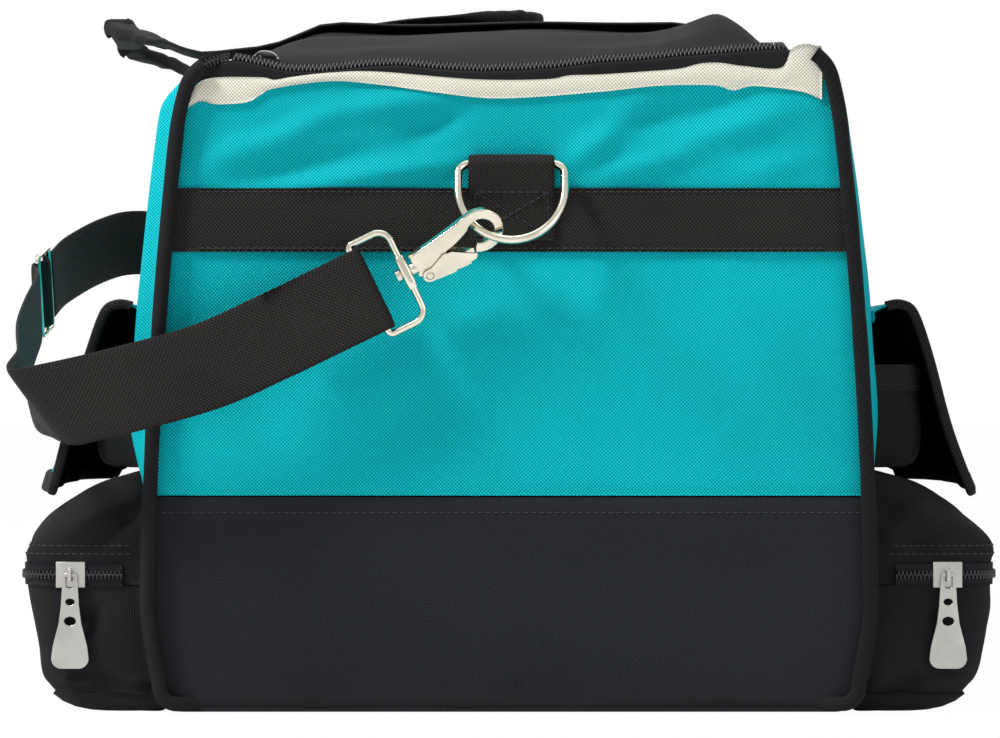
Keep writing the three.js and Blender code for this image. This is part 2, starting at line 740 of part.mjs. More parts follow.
function hookPair(name, build, rolled, finish) {
  for (const [end, sign] of Object.entries(ENDS)) {
    const geometry = build().applyMatrix4(hookFrame(end, rolled));
    add(`${name}_${end}`, geometry, finish).scale.y = sign;
  }
}

function plate(shape, thickness, bevel, curveSegments = 8) {
  const solid = new THREE.ExtrudeGeometry(shape, {
    depth: thickness - 2 * bevel,
    bevelEnabled: bevel > 0,
    bevelThickness: bevel,
    bevelSize: bevel,
    bevelOffset: -bevel,
    bevelSegments: 1,
    curveSegments,
  });
  return solid.translate(0, 0, -(thickness - 2 * bevel) / 2);
}

function pin(start, length, radius) {
  return new THREE.CylinderGeometry(radius, radius, length, 12)
    .rotateZ(Math.PI / 2)
    .translate(start + length / 2, 0, 0);
}

// The cast body: shank, arm, eye and nose, open below the eye, with the post and its head.
function hookBody() {
  const noseAngle = Math.PI * 1.3;
  const shape = new THREE.Shape();
  shape.moveTo(SHANK_START, SHANK_TOP);
  const neckStart = EYE_S - 23;
  const neckEnd = EYE_S - 13;
  shape.bezierCurveTo(
    neckStart, SHANK_TOP + 1.6, neckEnd, EYE_T + 7.3, EYE_S - 3.3, EYE_T + EYE_OUTER - 0.5,
  );
  shape.absarc(EYE_S, EYE_T, EYE_OUTER, Math.PI * 0.6, noseAngle - 2 * Math.PI, true);
  shape.absarc(EYE_S, EYE_T, EYE_HOLE, noseAngle - 2 * Math.PI, Math.PI * 0.82, false);
  shape.bezierCurveTo(EYE_S - 10, EYE_T + 0.4, neckEnd, EYE_T - 0.8, EYE_S - 17, EYE_T - 1.6);
  shape.lineTo(GATE_PIVOT_S + BOSS_RADIUS + 1, GATE_PIVOT_T + 1.4);
  shape.absarc(GATE_PIVOT_S, GATE_PIVOT_T, BOSS_RADIUS, 0.1 * Math.PI, -Math.PI, true);
  shape.lineTo(SHANK_START, SHANK_BOTTOM);
  const body = plate(shape, HOOK_THICKNESS, HOOK_BEVEL);
  const head = pin(-COLLAR_LENGTH / 2 - GAP - POST_HEAD, POST_HEAD, POST_HEAD_RADIUS);
  const post = pin(-COLLAR_LENGTH / 2 - POST_HEAD, COLLAR_LENGTH + POST_HEAD + 3, POST_RADIUS);
  const neck = pin(COLLAR_LENGTH / 2 + GAP, SHANK_START - COLLAR_LENGTH / 2 + 1, POST_HEAD_RADIUS);
  const bore = new THREE.CylinderGeometry(PIN_RADIUS + GAP, PIN_RADIUS + GAP, 3 * HOOK_THICKNESS, 12)
    .rotateX(Math.PI / 2)
    .translate(GATE_PIVOT_S, GATE_PIVOT_T, 0);
  return cut(join(body, post, head, neck), bore);
}

// The gate: two side plates beside the cast body, a floor between them and the hinge pin.
function gate() {
  const [s, t] = [GATE_PIVOT_S, GATE_PIVOT_T];
  const side = HOOK_THICKNESS / 2 + GAP;
  const shape = new THREE.Shape();
  shape.moveTo(s - GATE_ROUND, t);
  shape.absarc(s, t, GATE_ROUND, Math.PI, 1.55 * Math.PI, false);
  shape.lineTo(s + 11, t - GATE_DEPTH);
  shape.lineTo(s + 12, t - GATE_DEPTH + 0.8);
  shape.lineTo(GATE_TIP_S, t - GATE_DEPTH + 1.6);
  shape.lineTo(GATE_TIP_S + 1.2, t - 0.4);
  shape.lineTo(s + 13, t + 6.2);
  shape.lineTo(s + 9, t + 6.6);
  shape.lineTo(s + 2, t + GATE_ROUND);
  shape.absarc(s, t, GATE_ROUND, 0.6 * Math.PI, Math.PI, false);
  const plates = [-1, 1].map((face) => plate(shape, GATE_PLATE, 0)
    .translate(0, 0, face * (side + GATE_PLATE / 2)));
  const floor = box(
    [s + 4, t - GATE_DEPTH, -side - 0.1],
    [GATE_FLOOR_END, t - GATE_DEPTH + GATE_PLATE, side + 0.1],
  );
  const hinge = new THREE.CylinderGeometry(PIN_RADIUS, PIN_RADIUS, 2 * side + GATE_PLATE, 12)
    .rotateX(Math.PI / 2)
    .translate(s, t, 0);
  const knobs = [-1, 1].map((face) => new THREE.SphereGeometry(KNOB_RADIUS, 8, 4)
    .scale(1, 1, 0.6)
    .translate(s, t, face * (side + GATE_PLATE)));
  return join(plates[0], plates[1], floor, hinge, ...knobs);
}

// The wire loop that holds the strap, with the collar that the hook's post turns in.
function strapLoop() {
  const far = -LOOP_DEPTH;
  const points = [];
  const corner = (s, t, radius, from) => {
    for (let k = 0; k <= 4; k += 1) {
      const angle = THREE.MathUtils.degToRad(from + (90 * k) / 4);
      points.push(new THREE.Vector3(s + radius * Math.cos(angle), t + radius * Math.sin(angle), 0));
    }
  };
  const tight = LOOP_CORNER / 3;
  points.push(new THREE.Vector3(0, 0, 0));
  corner(-LOOP_CORNER, LOOP_HALF_LENGTH - LOOP_CORNER, LOOP_CORNER, 0);
  corner(far + tight, LOOP_HALF_LENGTH - tight, tight, 90);
  points.push(new THREE.Vector3(far, 0, 0));
  corner(far + tight, -LOOP_HALF_LENGTH + tight, tight, 180);
  corner(-LOOP_CORNER, -LOOP_HALF_LENGTH + LOOP_CORNER, LOOP_CORNER, 270);
  const collar = box(
    [-COLLAR_LENGTH / 2, -COLLAR_WIDTH / 2, -COLLAR_THICKNESS / 2],
    [COLLAR_LENGTH / 2, COLLAR_WIDTH / 2, COLLAR_THICKNESS / 2],
  );
  const bore = pin(-COLLAR_LENGTH, 2 * COLLAR_LENGTH, POST_RADIUS + GAP);
  return cut(join(wire(points, LOOP_WIRE, 8, true), collar), bore);
}

hookPair("snap_hook", hookBody, true, "nickel");
hookPair("hook_gate", gate, true, "nickel");
hookPair("strap_loop", strapLoop, false, "nickel");

// Shoulder strap: webbing round both loops, past the left flank, through the adjuster

const UP = new THREE.Vector3(0, 0, 1);
const WRAP_RADIUS = LOOP_WIRE + STRAP_WRAP_CLEARANCE + STRAP_THICKNESS / 2;

// The strap's first stations at one end: a sewn-back tail, then round the loop's outer bar.
function strapEnd(end) {
  const frame = hookFrame(end, false);
  const across = new THREE.Vector3(0, 1, 0).transformDirection(frame);
  const station = (s, n) => ({
    at: new THREE.Vector3(s, 0, n).applyMatrix4(frame),
    across,
  });
  const bar = -LOOP_DEPTH;
  const stations = [
    station(bar - STRAP_TAIL, -WRAP_RADIUS + STRAP_TAIL_LIFT),
    station(bar - STRAP_TAIL / 3, -WRAP_RADIUS + STRAP_TAIL_LIFT / 3),
  ];
  const steps = 8;
  for (let k = 0; k <= steps; k += 1) {
    const angle = -Math.PI / 2 + (Math.PI * k) / steps;
    stations.push(station(bar + WRAP_RADIUS * Math.cos(angle), WRAP_RADIUS * Math.sin(angle)));
  }
  stations.push(station(bar - STRAP_TAIL / 3, WRAP_RADIUS));
  stations.push(station(bar - STRAP_TAIL, WRAP_RADIUS));
  if (end === "far") {
    for (const { at } of stations) at.y *= -1;
    stations.forEach((each) => { each.across = new THREE.Vector3(across.x, -across.y, across.z); });
  }
  return stations;
}

const ADJUSTER_ALONG = new THREE.Vector3(...ADJUSTER_AHEAD).sub(new THREE.Vector3(...ADJUSTER_AT))
  .normalize();
const ADJUSTER_ACROSS = UP.clone()
  .addScaledVector(ADJUSTER_ALONG, -UP.dot(ADJUSTER_ALONG)).normalize();
const ADJUSTER_OUT = ADJUSTER_ACROSS.clone().cross(ADJUSTER_ALONG).normalize();

// The strap weaves outside the adjuster's end bars and inside its middle bar.
function adjusterStations() {
  const rise = ADJUSTER_WIRE + STRAP_WRAP_CLEARANCE + STRAP_THICKNESS / 2;
  const steps = 12;
  return Array.from({ length: steps + 1 }, (_, k) => {
    const run = ADJUSTER_PITCH * 1.5 * ((2 * k) / steps - 1);
    const height = rise * Math.cos((Math.PI * run) / ADJUSTER_PITCH);
    return {
      at: new THREE.Vector3(...ADJUSTER_AT)
        .addScaledVector(ADJUSTER_ALONG, run)
        .addScaledVector(ADJUSTER_OUT, -height),
      across: ADJUSTER_ACROSS,
    };
  });
}

// Stations of a smooth run of strap on edge between two given stations.
function strapRun(from, through, to, parts) {
  const points = [from.at, ...through.map((point) => new THREE.Vector3(...point)), to.at];
  const curve = new THREE.CatmullRomCurve3(points, false, "centripetal");
  return curve.getSpacedPoints(parts).slice(1, -1).map((at, k) => {
    const share = (k + 1) / parts;
    const across = from.across.clone().lerp(to.across, share);
    return { at, across: across.addScaledVector(UP, 0.5).normalize() };
  });
}

const nearEnd = strapEnd("near");
const farEnd = strapEnd("far").toReversed();
const weave = adjusterStations();
add("shoulder_strap", ribbon([
  ...nearEnd,
  ...strapRun(nearEnd.at(-1), STRAP_NEAR_ROUTE, weave[0], STRAP_NEAR_STEPS),
  ...weave,
  ...strapRun(weave.at(-1), STRAP_FAR_ROUTE, farEnd[0], STRAP_FAR_STEPS),
  ...farEnd,
], WEBBING_WIDTH, STRAP_THICKNESS), "webbing");

// Adjuster: a wire frame with a middle bar.
function adjuster() {
  const half = WEBBING_WIDTH / 2 + 2 + ADJUSTER_WIRE;
  const points = [];
  for (const [x, y, start] of [[1, 1, 0], [-1, 1, 90], [-1, -1, 180], [1, -1, 270]]) {
    for (let k = 0; k <= 3; k += 1) {
      const angle = THREE.MathUtils.degToRad(start + 30 * k);
      points.push(new THREE.Vector3(
        x * (ADJUSTER_PITCH - ADJUSTER_CORNER) + ADJUSTER_CORNER * Math.cos(angle),
        y * (half - ADJUSTER_CORNER) + ADJUSTER_CORNER * Math.sin(angle),
        0,
      ));
    }
  }
  const bar = new THREE.CylinderGeometry(ADJUSTER_WIRE, ADJUSTER_WIRE, 2 * half, 8);
  const frame = new THREE.Matrix4()
    .makeBasis(ADJUSTER_ALONG, ADJUSTER_ACROSS, ADJUSTER_ALONG.clone().cross(ADJUSTER_ACROSS))
    .setPosition(new THREE.Vector3(...ADJUSTER_AT));
  return join(wire(points, ADJUSTER_WIRE, 8, true), bar).applyMatrix4(frame);
}
add("strap_adjuster", adjuster(), "nickel");

// Carry handles

// A point at a distance inward from the rim's edge and a height above it.
function fromRim(side, inward, y, rise) {
  return new THREE.Vector3(side * (SHOULDER - inward), y, BODY_HEIGHT + rise);
}

function webbingRun(points, across) {
  return points.map((at) => ({ at, across }));
}

const ACROSS_Y = new THREE.Vector3(0, 1, 0);

// A sewn leg: flat on the wall, bowed out at the shoulder, ending at the bag's top edge.
function handleLeg(side, y, top) {
  const centre = GAP + WEBBING_THICKNESS / 2;
  const steps = 4;
  const points = Array.from({ length: steps + 1 }, (_, k) => {
    const z = LEG_BOTTOM + ((LEG_BEND - LEG_BOTTOM) * k) / steps;
    return new THREE.Vector3(side * (halfWidth(z, y) + centre), y, z);
  });
  const shoulder = top.map(([inward, rise]) => fromRim(side, inward, y, rise));
  return ribbon(webbingRun([...points, ...shoulder], ACROSS_Y), WEBBING_WIDTH, WEBBING_THICKNESS);
}

for (const [end, sign] of Object.entries(ENDS)) {
  const left = handleLeg(SIDES.left, -sign * LEFT_LEG_Y, LEFT_SHOULDER);
  const right = handleLeg(SIDES.right, -sign * RIGHT_LEG_Y, RIGHT_SHOULDER);
  add(`left_handle_leg_${end}`, left, "webbing");
  add(`right_handle_leg_${end}`, right, "webbing");
}

// A free loop: a leg rises over the lid, turns a corner into the crossbar and mirrors itself.
// bar is the crossbar's across vector, flat or on edge.
function handleLoop(side, profile, legY, turn, bar) {
  const heading = -side;
  const corner = fromRim(side, turn.inward, -legY, turn.rise);
  const stations = webbingRun(
    profile.map(([inward, rise]) => fromRim(side, inward, -legY, rise)),
    ACROSS_Y,
  );
  const steps = 6;
  for (let k = 0; k <= steps; k += 1) {
    const share = k / steps;
    const angle = (Math.PI / 2) * share;
    stations.push({
      at: new THREE.Vector3(
        corner.x + heading * HANDLE_TURN_RADIUS * Math.sin(angle),
        corner.y + HANDLE_TURN_RADIUS * (1 - Math.cos(angle)),
        corner.z + turn.lift * share,
      ),
      across: ACROSS_Y.clone().applyAxisAngle(UP, heading * angle).lerp(bar, share),
    });
  }
  const barX = corner.x + heading * HANDLE_TURN_RADIUS;
  stations.push({
    at: new THREE.Vector3(barX, -legY / 2, corner.z + turn.lift),
    across: bar,
  });
  const mirrored = stations.toReversed().map(({ at, across }) => ({
    at: new THREE.Vector3(at.x, -at.y, at.z),
    across: new THREE.Vector3(across.x, -across.y, across.z),
  }));
  return ribbon([...stations, ...mirrored], WEBBING_WIDTH, WEBBING_THICKNESS);
}

const FLAT = new THREE.Vector3(-1, 0, 0);
const leftLoop = handleLoop(SIDES.left, LEFT_LOOP, LEFT_LEG_Y, LEFT_LOOP_TURN, FLAT);
const rightLoop = handleLoop(SIDES.right, RIGHT_LOOP, RIGHT_LEG_Y, RIGHT_LOOP_TURN, UP);
add("left_handle", leftLoop, "webbing", lid);
add("right_handle", rightLoop, "webbing");

// Side pockets

const UPPER_HALF = (UPPER_POCKET_END - UPPER_POCKET_SPLIT) / 2;
const UPPER_MIDDLE = (UPPER_POCKET_END + UPPER_POCKET_SPLIT) / 2;

function upperPocket(side, middle) {
  const face = UPPER_POCKET_DEPTH - HEM_THICKNESS;
  const hem = UPPER_POCKET_TOP - HEM_HEIGHT;
  const outside = [
    [GAP, UPPER_POCKET_BOTTOM], [face - 7, UPPER_POCKET_BOTTOM], [face - 1, UPPER_POCKET_BOTTOM + 9],
    [face, hem], [UPPER_POCKET_DEPTH, hem], [UPPER_POCKET_DEPTH, UPPER_POCKET_TOP],
    [GAP, UPPER_POCKET_TOP],
  ];
  const inner = face - POCKET_WALL;
  const low = UPPER_POCKET_BOTTOM + POCKET_WALL;
  const inside = [
    [GAP + POCKET_WALL, low], [inner - 7, low], [inner - 1, low + 9],
    [inner, hem], [inner, UPPER_POCKET_TOP + EXTRA], [GAP + POCKET_WALL, UPPER_POCKET_TOP + EXTRA],
  ];
  return cut(
    alongWall(side, outside, UPPER_HALF, middle),
    alongWall(side, inside, UPPER_HALF - POCKET_WALL, middle),
  );
}

// A flap and the rolled seam at its root, round the line that it turns about.
function flap(side, middle) {
  const half = UPPER_HALF + FLAP_OVERHANG;
  const [u, z] = FLAP_LINE[0];
  const seam = Array.from({ length: 8 }, (_, k) => [
    u + FLAP_SEAM * Math.cos((Math.PI * (k + 0.5)) / 4),
    z + FLAP_SEAM * Math.sin((Math.PI * (k + 0.5)) / 4),
  ]);
  return join(
    sheetAlongWall(side, FLAP_LINE, FLAP_THICKNESS, half, middle),
    alongWall(side, seam, half, middle),
  );
}

// Share of the pocket's depth at a place along it: its upright corners are rounded.
function cornerShare(inset) {
  return (place) => {
    const over = Math.abs(place) - (LOWER_POCKET_END - LOWER_POCKET_ROUND);
    if (over <= 0) return 1;
    const drawn = LOWER_POCKET_ROUND - Math.sqrt(Math.max(LOWER_POCKET_ROUND ** 2 - over ** 2, 0));
    return 1 - drawn / (LOWER_POCKET_DEPTH - inset);
  };
}

const FRONT_LINE = [
  [LOWER_POCKET_DEPTH - 7, FRONT_BOTTOM], [LOWER_POCKET_DEPTH - 3, FRONT_BOTTOM + 6],
  [LOWER_POCKET_DEPTH - 0.6, FRONT_BOTTOM + 19], [LOWER_POCKET_DEPTH, FRONT_BOTTOM + 31],
  [LOWER_POCKET_DEPTH, POCKET_ZIP_BOTTOM - GAP],
];

const ROOF_LINE = [
  [LOWER_POCKET_DEPTH, POCKET_ZIP_BOTTOM], [LOWER_POCKET_DEPTH, POCKET_ZIP_TOP + 2],
  [LOWER_POCKET_DEPTH - 6, LOWER_POCKET_TOP - 25],
  [LOWER_POCKET_DEPTH - 15, LOWER_POCKET_TOP - 11],
  [LOWER_POCKET_DEPTH - 28, LOWER_POCKET_TOP - 3],
  [GAP, LOWER_POCKET_TOP],
];

function lowerPocket(side) {
  const foot = [
    [GAP, BOTTOM_ROUND], [BOTTOM_ROUND, LOWER_POCKET_BOTTOM],
    [LOWER_POCKET_DEPTH - 16, LOWER_POCKET_BOTTOM],
    [LOWER_POCKET_DEPTH - 10, LOWER_POCKET_BOTTOM + 3],
  ];
  const outside = [...foot, ...FRONT_LINE, ...ROOF_LINE];
  const inside = grown(outside, -POCKET_WALL);
  const half = LOWER_POCKET_END;
  const mouth = [
    [LOWER_POCKET_DEPTH - 2 * POCKET_WALL - 9, FRONT_BOTTOM - 1],
    [LOWER_POCKET_DEPTH + EXTRA, FRONT_BOTTOM - 1],
    [LOWER_POCKET_DEPTH + EXTRA, POCKET_ZIP_BOTTOM],
    [LOWER_POCKET_DEPTH - 2 * POCKET_WALL - 9, POCKET_ZIP_BOTTOM],
  ];
  return cut(
    alongWall(side, outside, half, 0, cornerShare(0)),
    alongWall(side, inside, half - POCKET_WALL, 0, cornerShare(POCKET_WALL)),
    alongWall(side, mouth, half - LOWER_POCKET_ROUND),
  );
}

function pocketFront(side) {
  const line = FRONT_LINE.map(([u, z]) => [u - POCKET_WALL / 2, z]);
  return sheetAlongWall(side, line, POCKET_WALL, LOWER_POCKET_END - LOWER_POCKET_ROUND - GAP);
}

// The pocket's zip: an upright band round the outside of the pocket, in plan a long U.
function pocketZip(side) {
  const z = (POCKET_ZIP_BOTTOM + POCKET_ZIP_TOP) / 2;
  const round = cornerShare(0);
  const plan = [];
  const end = LOWER_POCKET_END;
  const flatEnd = LOWER_POCKET_DEPTH - LOWER_POCKET_ROUND;
  for (const u of [POCKET_ZIP_START, (POCKET_ZIP_START + flatEnd) / 2]) {
    plan.push([halfWidth(z, end) + u, -end]);
  }
  for (const y of pocketPlaces(end)) {
    plan.push([halfWidth(z, y) + LOWER_POCKET_DEPTH * round(y), y]);
  }
  for (const [x, y] of plan.slice(0, 2).toReversed()) plan.push([x, -y]);
  const standoff = 2 * GAP + POCKET_ZIP_THICKNESS / 2;
  const stations = plan.map(([x, y], k) => {
    const [x0, y0] = plan[Math.max(k - 1, 0)];
    const [x1, y1] = plan[Math.min(k + 1, plan.length - 1)];
    const out = new THREE.Vector2(y1 - y0, x0 - x1).normalize();
    return {
      at: new THREE.Vector3(side * (x + out.x * standoff), y + out.y * standoff, z),
      across: UP,
    };
  });
  return ribbon(stations, POCKET_ZIP_TOP - POCKET_ZIP_BOTTOM, POCKET_ZIP_THICKNESS);
}

for (const [name, side] of Object.entries(SIDES)) {
  for (const [end, sign] of Object.entries(ENDS)) {
    add(`${name}_upper_pocket_${end}`, upperPocket(side, -sign * UPPER_MIDDLE), "charcoal");
    add(`${name}_flap_${end}`, flap(side, -sign * UPPER_MIDDLE), "teal");
  }
  add(`${name}_pocket_shell`, lowerPocket(side), "charcoal");
  add(`${name}_pocket_front`, pocketFront(side), "charcoal");
  add(`${name}_pocket_zip`, pocketZip(side), "charcoal");
}

// Sliders and pull tabs: p runs along the pull, q across it, n away from the slider's plate.
// The pull lies on n = 0 and turns about the bar at the top of its eye.

function placeFitting(geometry, at, pAxis, nAxis) {
  const frame = new THREE.Matrix4().makeBasis(pAxis, nAxis.clone().cross(pAxis), nAxis);
  return geometry.applyMatrix4(frame.setPosition(at));
}

// A slider's top plate with turned-down flanges at both sides of the zip, and the bail on top.
// turned is true where the pull hangs across the zip instead of along it.
function slider(turned) {
  const middle = (BAIL_START + BAIL_END) / 2;
  const [long, wide] = [SLIDER_LENGTH / 2, SLIDER_WIDTH / 2];
  const [p, q] = turned ? [wide, long] : [long, wide];
  const top = -GAP;
  const low = top - SLIDER_PLATE;
  const cover = box([middle - p, -q, low], [middle + p, q, top]);
  const flanges = [-1, 1].map((edge) => {
    const lift = low - SLIDER_FLANGE_DEPTH;
    const span = [edge * (SLIDER_WIDTH / 2 - SLIDER_FLANGE), edge * (SLIDER_WIDTH / 2)]
      .sort((a, b) => a - b);
    return turned
      ? box([middle + span[0], -q, lift], [middle + span[1], q, low + GAP])
      : box([middle - p, span[0], lift], [middle + p, span[1], low + GAP]);
  });
  const half = BAIL_WIDTH / 2;
  const arch = cut(
    box([BAIL_START, -half, top - GAP], [BAIL_END, half, BAIL_HEIGHT]),
    box(
      [BAIL_START + BAIL_BAR, -BAIL_WIDTH, top],
      [BAIL_END - BAIL_BAR, BAIL_WIDTH, BAIL_HEIGHT - BAIL_BAR],
    ),
  );
  return join(cover, ...flanges, arch);
}

function pull() {
  const [p0, h0] = [PULL_TOP, PULL_HALF_WIDTHS[0][1] - 0.4];
  const side = (sign) => PULL_HALF_WIDTHS.map(([p, half]) => [p, sign * half]);
  const wide = PULL_HALF_WIDTHS.at(-1)[1] - PULL_END_ROUND;
  const shape = new THREE.Shape();
  shape.moveTo(p0, -h0 + 1);
  shape.lineTo(p0 + 1, -h0);
  for (const [p, q] of side(-1)) shape.lineTo(p, q);
  shape.absarc(PULL_LENGTH - PULL_END_ROUND, -wide, PULL_END_ROUND, -Math.PI / 2, 0, false);
  shape.absarc(PULL_LENGTH - PULL_END_ROUND, wide, PULL_END_ROUND, 0, Math.PI / 2, false);
  for (const [p, q] of side(1).toReversed()) shape.lineTo(p, q);
  shape.lineTo(p0 + 1, h0);
  shape.lineTo(p0, h0 - 1);
  const eye = new THREE.Path();
  const { from, to, half } = PULL_EYE;
  eye.moveTo(from, -half);
  eye.lineTo(from, half);
  eye.lineTo(to - 1, half);
  eye.lineTo(to, half - 1);
  eye.lineTo(to, 1 - half);
  eye.lineTo(to - 1, -half);
  shape.holes.push(eye);
  for (const [p, rp, rq] of PULL_HOLES) {
    const hole = new THREE.Path();
    hole.absellipse(p, 0, rp, rq, 0, 2 * Math.PI, true);
    shape.holes.push(hole);
  }
  return new THREE.ExtrudeGeometry(shape, {
    depth: PULL_THICKNESS, bevelEnabled: false, curveSegments: 4,
  });
}

const PLATE_RISE = GAP + SLIDER_PLATE + GAP;
const ZIP_LINE_INSET = (BODY_ZIP_IN + LID_ZIP_OUT) / 2;
const mainPlace = new THREE.Vector3(
  SHOULDER - ZIP_LINE_INSET, -MAIN_SLIDER_Y, ZIP_TOP + PLATE_RISE,
);
const TOWARDS = new THREE.Vector3(0, -1, 0);
const DOWN = new THREE.Vector3(0, 0, -1);

for (const [end, sign] of Object.entries(ENDS)) {
  add(`main_slider_${end}`, placeFitting(slider(false), mainPlace, TOWARDS, UP), "satin", lid)
    .scale.y = sign;
  add(`main_pull_${end}`, placeFitting(pull(), mainPlace, TOWARDS, UP), "satin", lid)
    .scale.y = sign;
}

for (const [name, side] of Object.entries(SIDES)) {
  const z = (POCKET_ZIP_BOTTOM + POCKET_ZIP_TOP) / 2;
  const place = new THREE.Vector3(
    side * (halfWidth(z, LOWER_POCKET_END) + POCKET_SLIDER_DEPTH),
    -(LOWER_POCKET_END + 2 * GAP + POCKET_ZIP_THICKNESS + PLATE_RISE),
    z - 1.4,
  );
  add(`${name}_pocket_slider`, placeFitting(slider(true), place, DOWN, TOWARDS), "satin");
  add(`${name}_pocket_pull`, placeFitting(pull(), place, DOWN, TOWARDS), "satin");
}

export default bag;
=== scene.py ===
# %% [markdown]
# # A zippered tool bag
#
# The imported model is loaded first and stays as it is. Everything soft is then built again as
# computed surfaces that lie where the plain solids lie, and every surface gets its own material.
# All lengths are metres, +Z is up and the end in view faces -Y.

import math

import bmesh
import bpy
import numpy as np
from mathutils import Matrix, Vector


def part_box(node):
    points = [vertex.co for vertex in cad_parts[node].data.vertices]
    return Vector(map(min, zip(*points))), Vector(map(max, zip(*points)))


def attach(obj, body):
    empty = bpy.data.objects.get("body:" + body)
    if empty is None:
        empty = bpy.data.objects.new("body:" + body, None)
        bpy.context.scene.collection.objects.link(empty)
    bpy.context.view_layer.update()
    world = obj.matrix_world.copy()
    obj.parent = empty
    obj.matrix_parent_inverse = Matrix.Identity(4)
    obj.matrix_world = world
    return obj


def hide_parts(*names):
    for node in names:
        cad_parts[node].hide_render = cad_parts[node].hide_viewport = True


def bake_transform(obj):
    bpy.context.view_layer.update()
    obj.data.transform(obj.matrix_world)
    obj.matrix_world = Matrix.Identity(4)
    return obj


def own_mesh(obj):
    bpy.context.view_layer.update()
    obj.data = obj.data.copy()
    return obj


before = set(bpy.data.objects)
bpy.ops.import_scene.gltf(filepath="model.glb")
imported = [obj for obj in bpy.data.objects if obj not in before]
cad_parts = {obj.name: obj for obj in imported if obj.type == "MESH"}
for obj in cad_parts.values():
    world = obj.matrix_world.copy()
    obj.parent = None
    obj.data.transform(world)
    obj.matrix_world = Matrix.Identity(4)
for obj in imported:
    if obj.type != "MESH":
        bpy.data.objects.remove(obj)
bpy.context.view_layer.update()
MM = 0.001

# %% [markdown]
# ## Camera
#
# The photograph is 1000 by 738 pixels. At the near end panel one pixel is 0.44 mm, and the eye
# is level, 1.6 m in front of that panel.

# %% Camera
PIXELS = (1000, 738)
PIXEL = 0.44 * MM
EYE_DISTANCE = 1.6
PANEL_Y = -0.28
EYE = (-0.004, PANEL_Y - EYE_DISTANCE, 0.151)

camera_data = bpy.data.cameras.new("camera")
camera_data.sensor_fit = "HORIZONTAL"
camera_data.angle = 2 * math.atan(PIXELS[0] * PIXEL / 2 / EYE_DISTANCE)
camera = bpy.data.objects.new("camera", camera_data)
camera.location = EYE
camera.rotation_euler = (math.pi / 2, 0, 0)
bpy.context.scene.collection.objects.link(camera)
bpy.context.scene.camera = camera
print("view angle", round(math.degrees(camera_data.angle), 2))


def from_photo(px, py):
    """The x and z of a pixel of the photograph, in the plane of the near panel."""
    return EYE[0] + (px - PIXELS[0] / 2) * PIXEL, EYE[2] + (PIXELS[1] / 2 - py) * PIXEL


# %% [markdown]
# ## Shader words
#
# A small class wraps a shader socket, so that patterns read as formulas.

# %% Sockets
def add_node(tree, kind, inputs=(), output=0, **settings):
    """Any node: its kind, a dict of input slots with values or links, and its settings."""
    made = tree.nodes.new(kind)
    for key, value in settings.items():
        setattr(made, key, value)
    for slot, value in dict(inputs).items():
        if isinstance(value, Value):
            tree.links.new(value.socket, made.inputs[slot])
        else:
            made.inputs[slot].default_value = value
    return Value(tree, made.outputs[output])


class Value:
    """A shader socket: x + y, x * 2, x.sin() and so on make Math nodes."""

    def __init__(self, tree, socket):
        self.tree, self.socket = tree, socket

    def math(self, operation, other=0.0, clamp=False):
        return add_node(self.tree, "ShaderNodeMath", enumerate((self, other)),
                        operation=operation, use_clamp=clamp)

    def __add__(self, other):
        return self.math("ADD", other)

    def __sub__(self, other):
        return self.math("SUBTRACT", other)

    def __mul__(self, other):
        return self.math("MULTIPLY", other)

    def __truediv__(self, other):
        return self.math("DIVIDE", other)

    def sin(self):
        return self.math("SINE")

    def abs(self):
        return self.math("ABSOLUTE")

    def floor(self):
        return self.math("FLOOR")

    def modulo(self, other):
        return self.math("FLOORED_MODULO", other)

    def power(self, other):
        return self.math("POWER", other)

    def step(self, low, high):
        """0 below low, 1 above high, smooth between."""
        return add_node(self.tree, "ShaderNodeMapRange",
                        {"Value": self, "From Min": low, "From Max": high},
                        interpolation_type="SMOOTHSTEP")

    def between(self, dark, light):
        """A colour from dark to light as this value goes from 0 to 1."""
        share = self.math("ADD", 0.0, clamp=True)
        return add_node(self.tree, "ShaderNodeMix",
                        {"Factor": share, 6: (*dark, 1), 7: (*light, 1)}, 2, data_type="RGBA")

    def parts(self):
        """The x, y and z of a vector."""
        made = add_node(self.tree, "ShaderNodeSeparateXYZ", {0: self}).socket.node
        return [Value(self.tree, output) for output in made.outputs]


class Surface:
    """A material in the making: its shader, its cloth coordinates and its noise."""

    def __init__(self, name, **constants):
        self.material = bpy.data.materials.new(name)
        self.material.use_nodes = True
        self.tree = self.material.node_tree
        self.shader = self.tree.nodes["Principled BSDF"]
        for key, value in constants.items():
            self.shader.inputs[key.replace("_", " ")].default_value = value

    def node(self, kind, inputs=(), output=0, **settings):
        return add_node(self.tree, kind, inputs, output, **settings)

    def cloth(self):
        """Lengthwise and crosswise place on the cloth, in millimetres."""
        return [part * 1000 for part in self.node("ShaderNodeUVMap", uv_map="cloth").parts()[:2]]

    def noise(self, scale, detail=3.0, stretch=(1, 1, 1)):
        """Smooth noise from 0 to 1, scale in waves per metre."""
        place = self.node("ShaderNodeTexCoord", output="Object")
        place = self.node("ShaderNodeMapping", {0: place, "Scale": stretch})
        return self.node("ShaderNodeTexNoise", {"Vector": place, "Scale": scale, "Detail": detail})

    def wire(self, value, name):
        self.tree.links.new(value.socket, self.shader.inputs[name])

    def relief(self, height, distance):
        """height from 0 to 1 raises the surface by distance, in millimetres."""
        self.wire(self.node("ShaderNodeBump", {"Height": height, "Distance": distance * MM}),
                  "Normal")


print("shader words ready")

# %% [markdown]
# ## Materials
#
# Woven panels are a basket weave: a dot wherever two waves at right angles meet. Webbing is a
# plain weave with long ribs. The twill of the lid, the pockets and the piping has slanting lines.

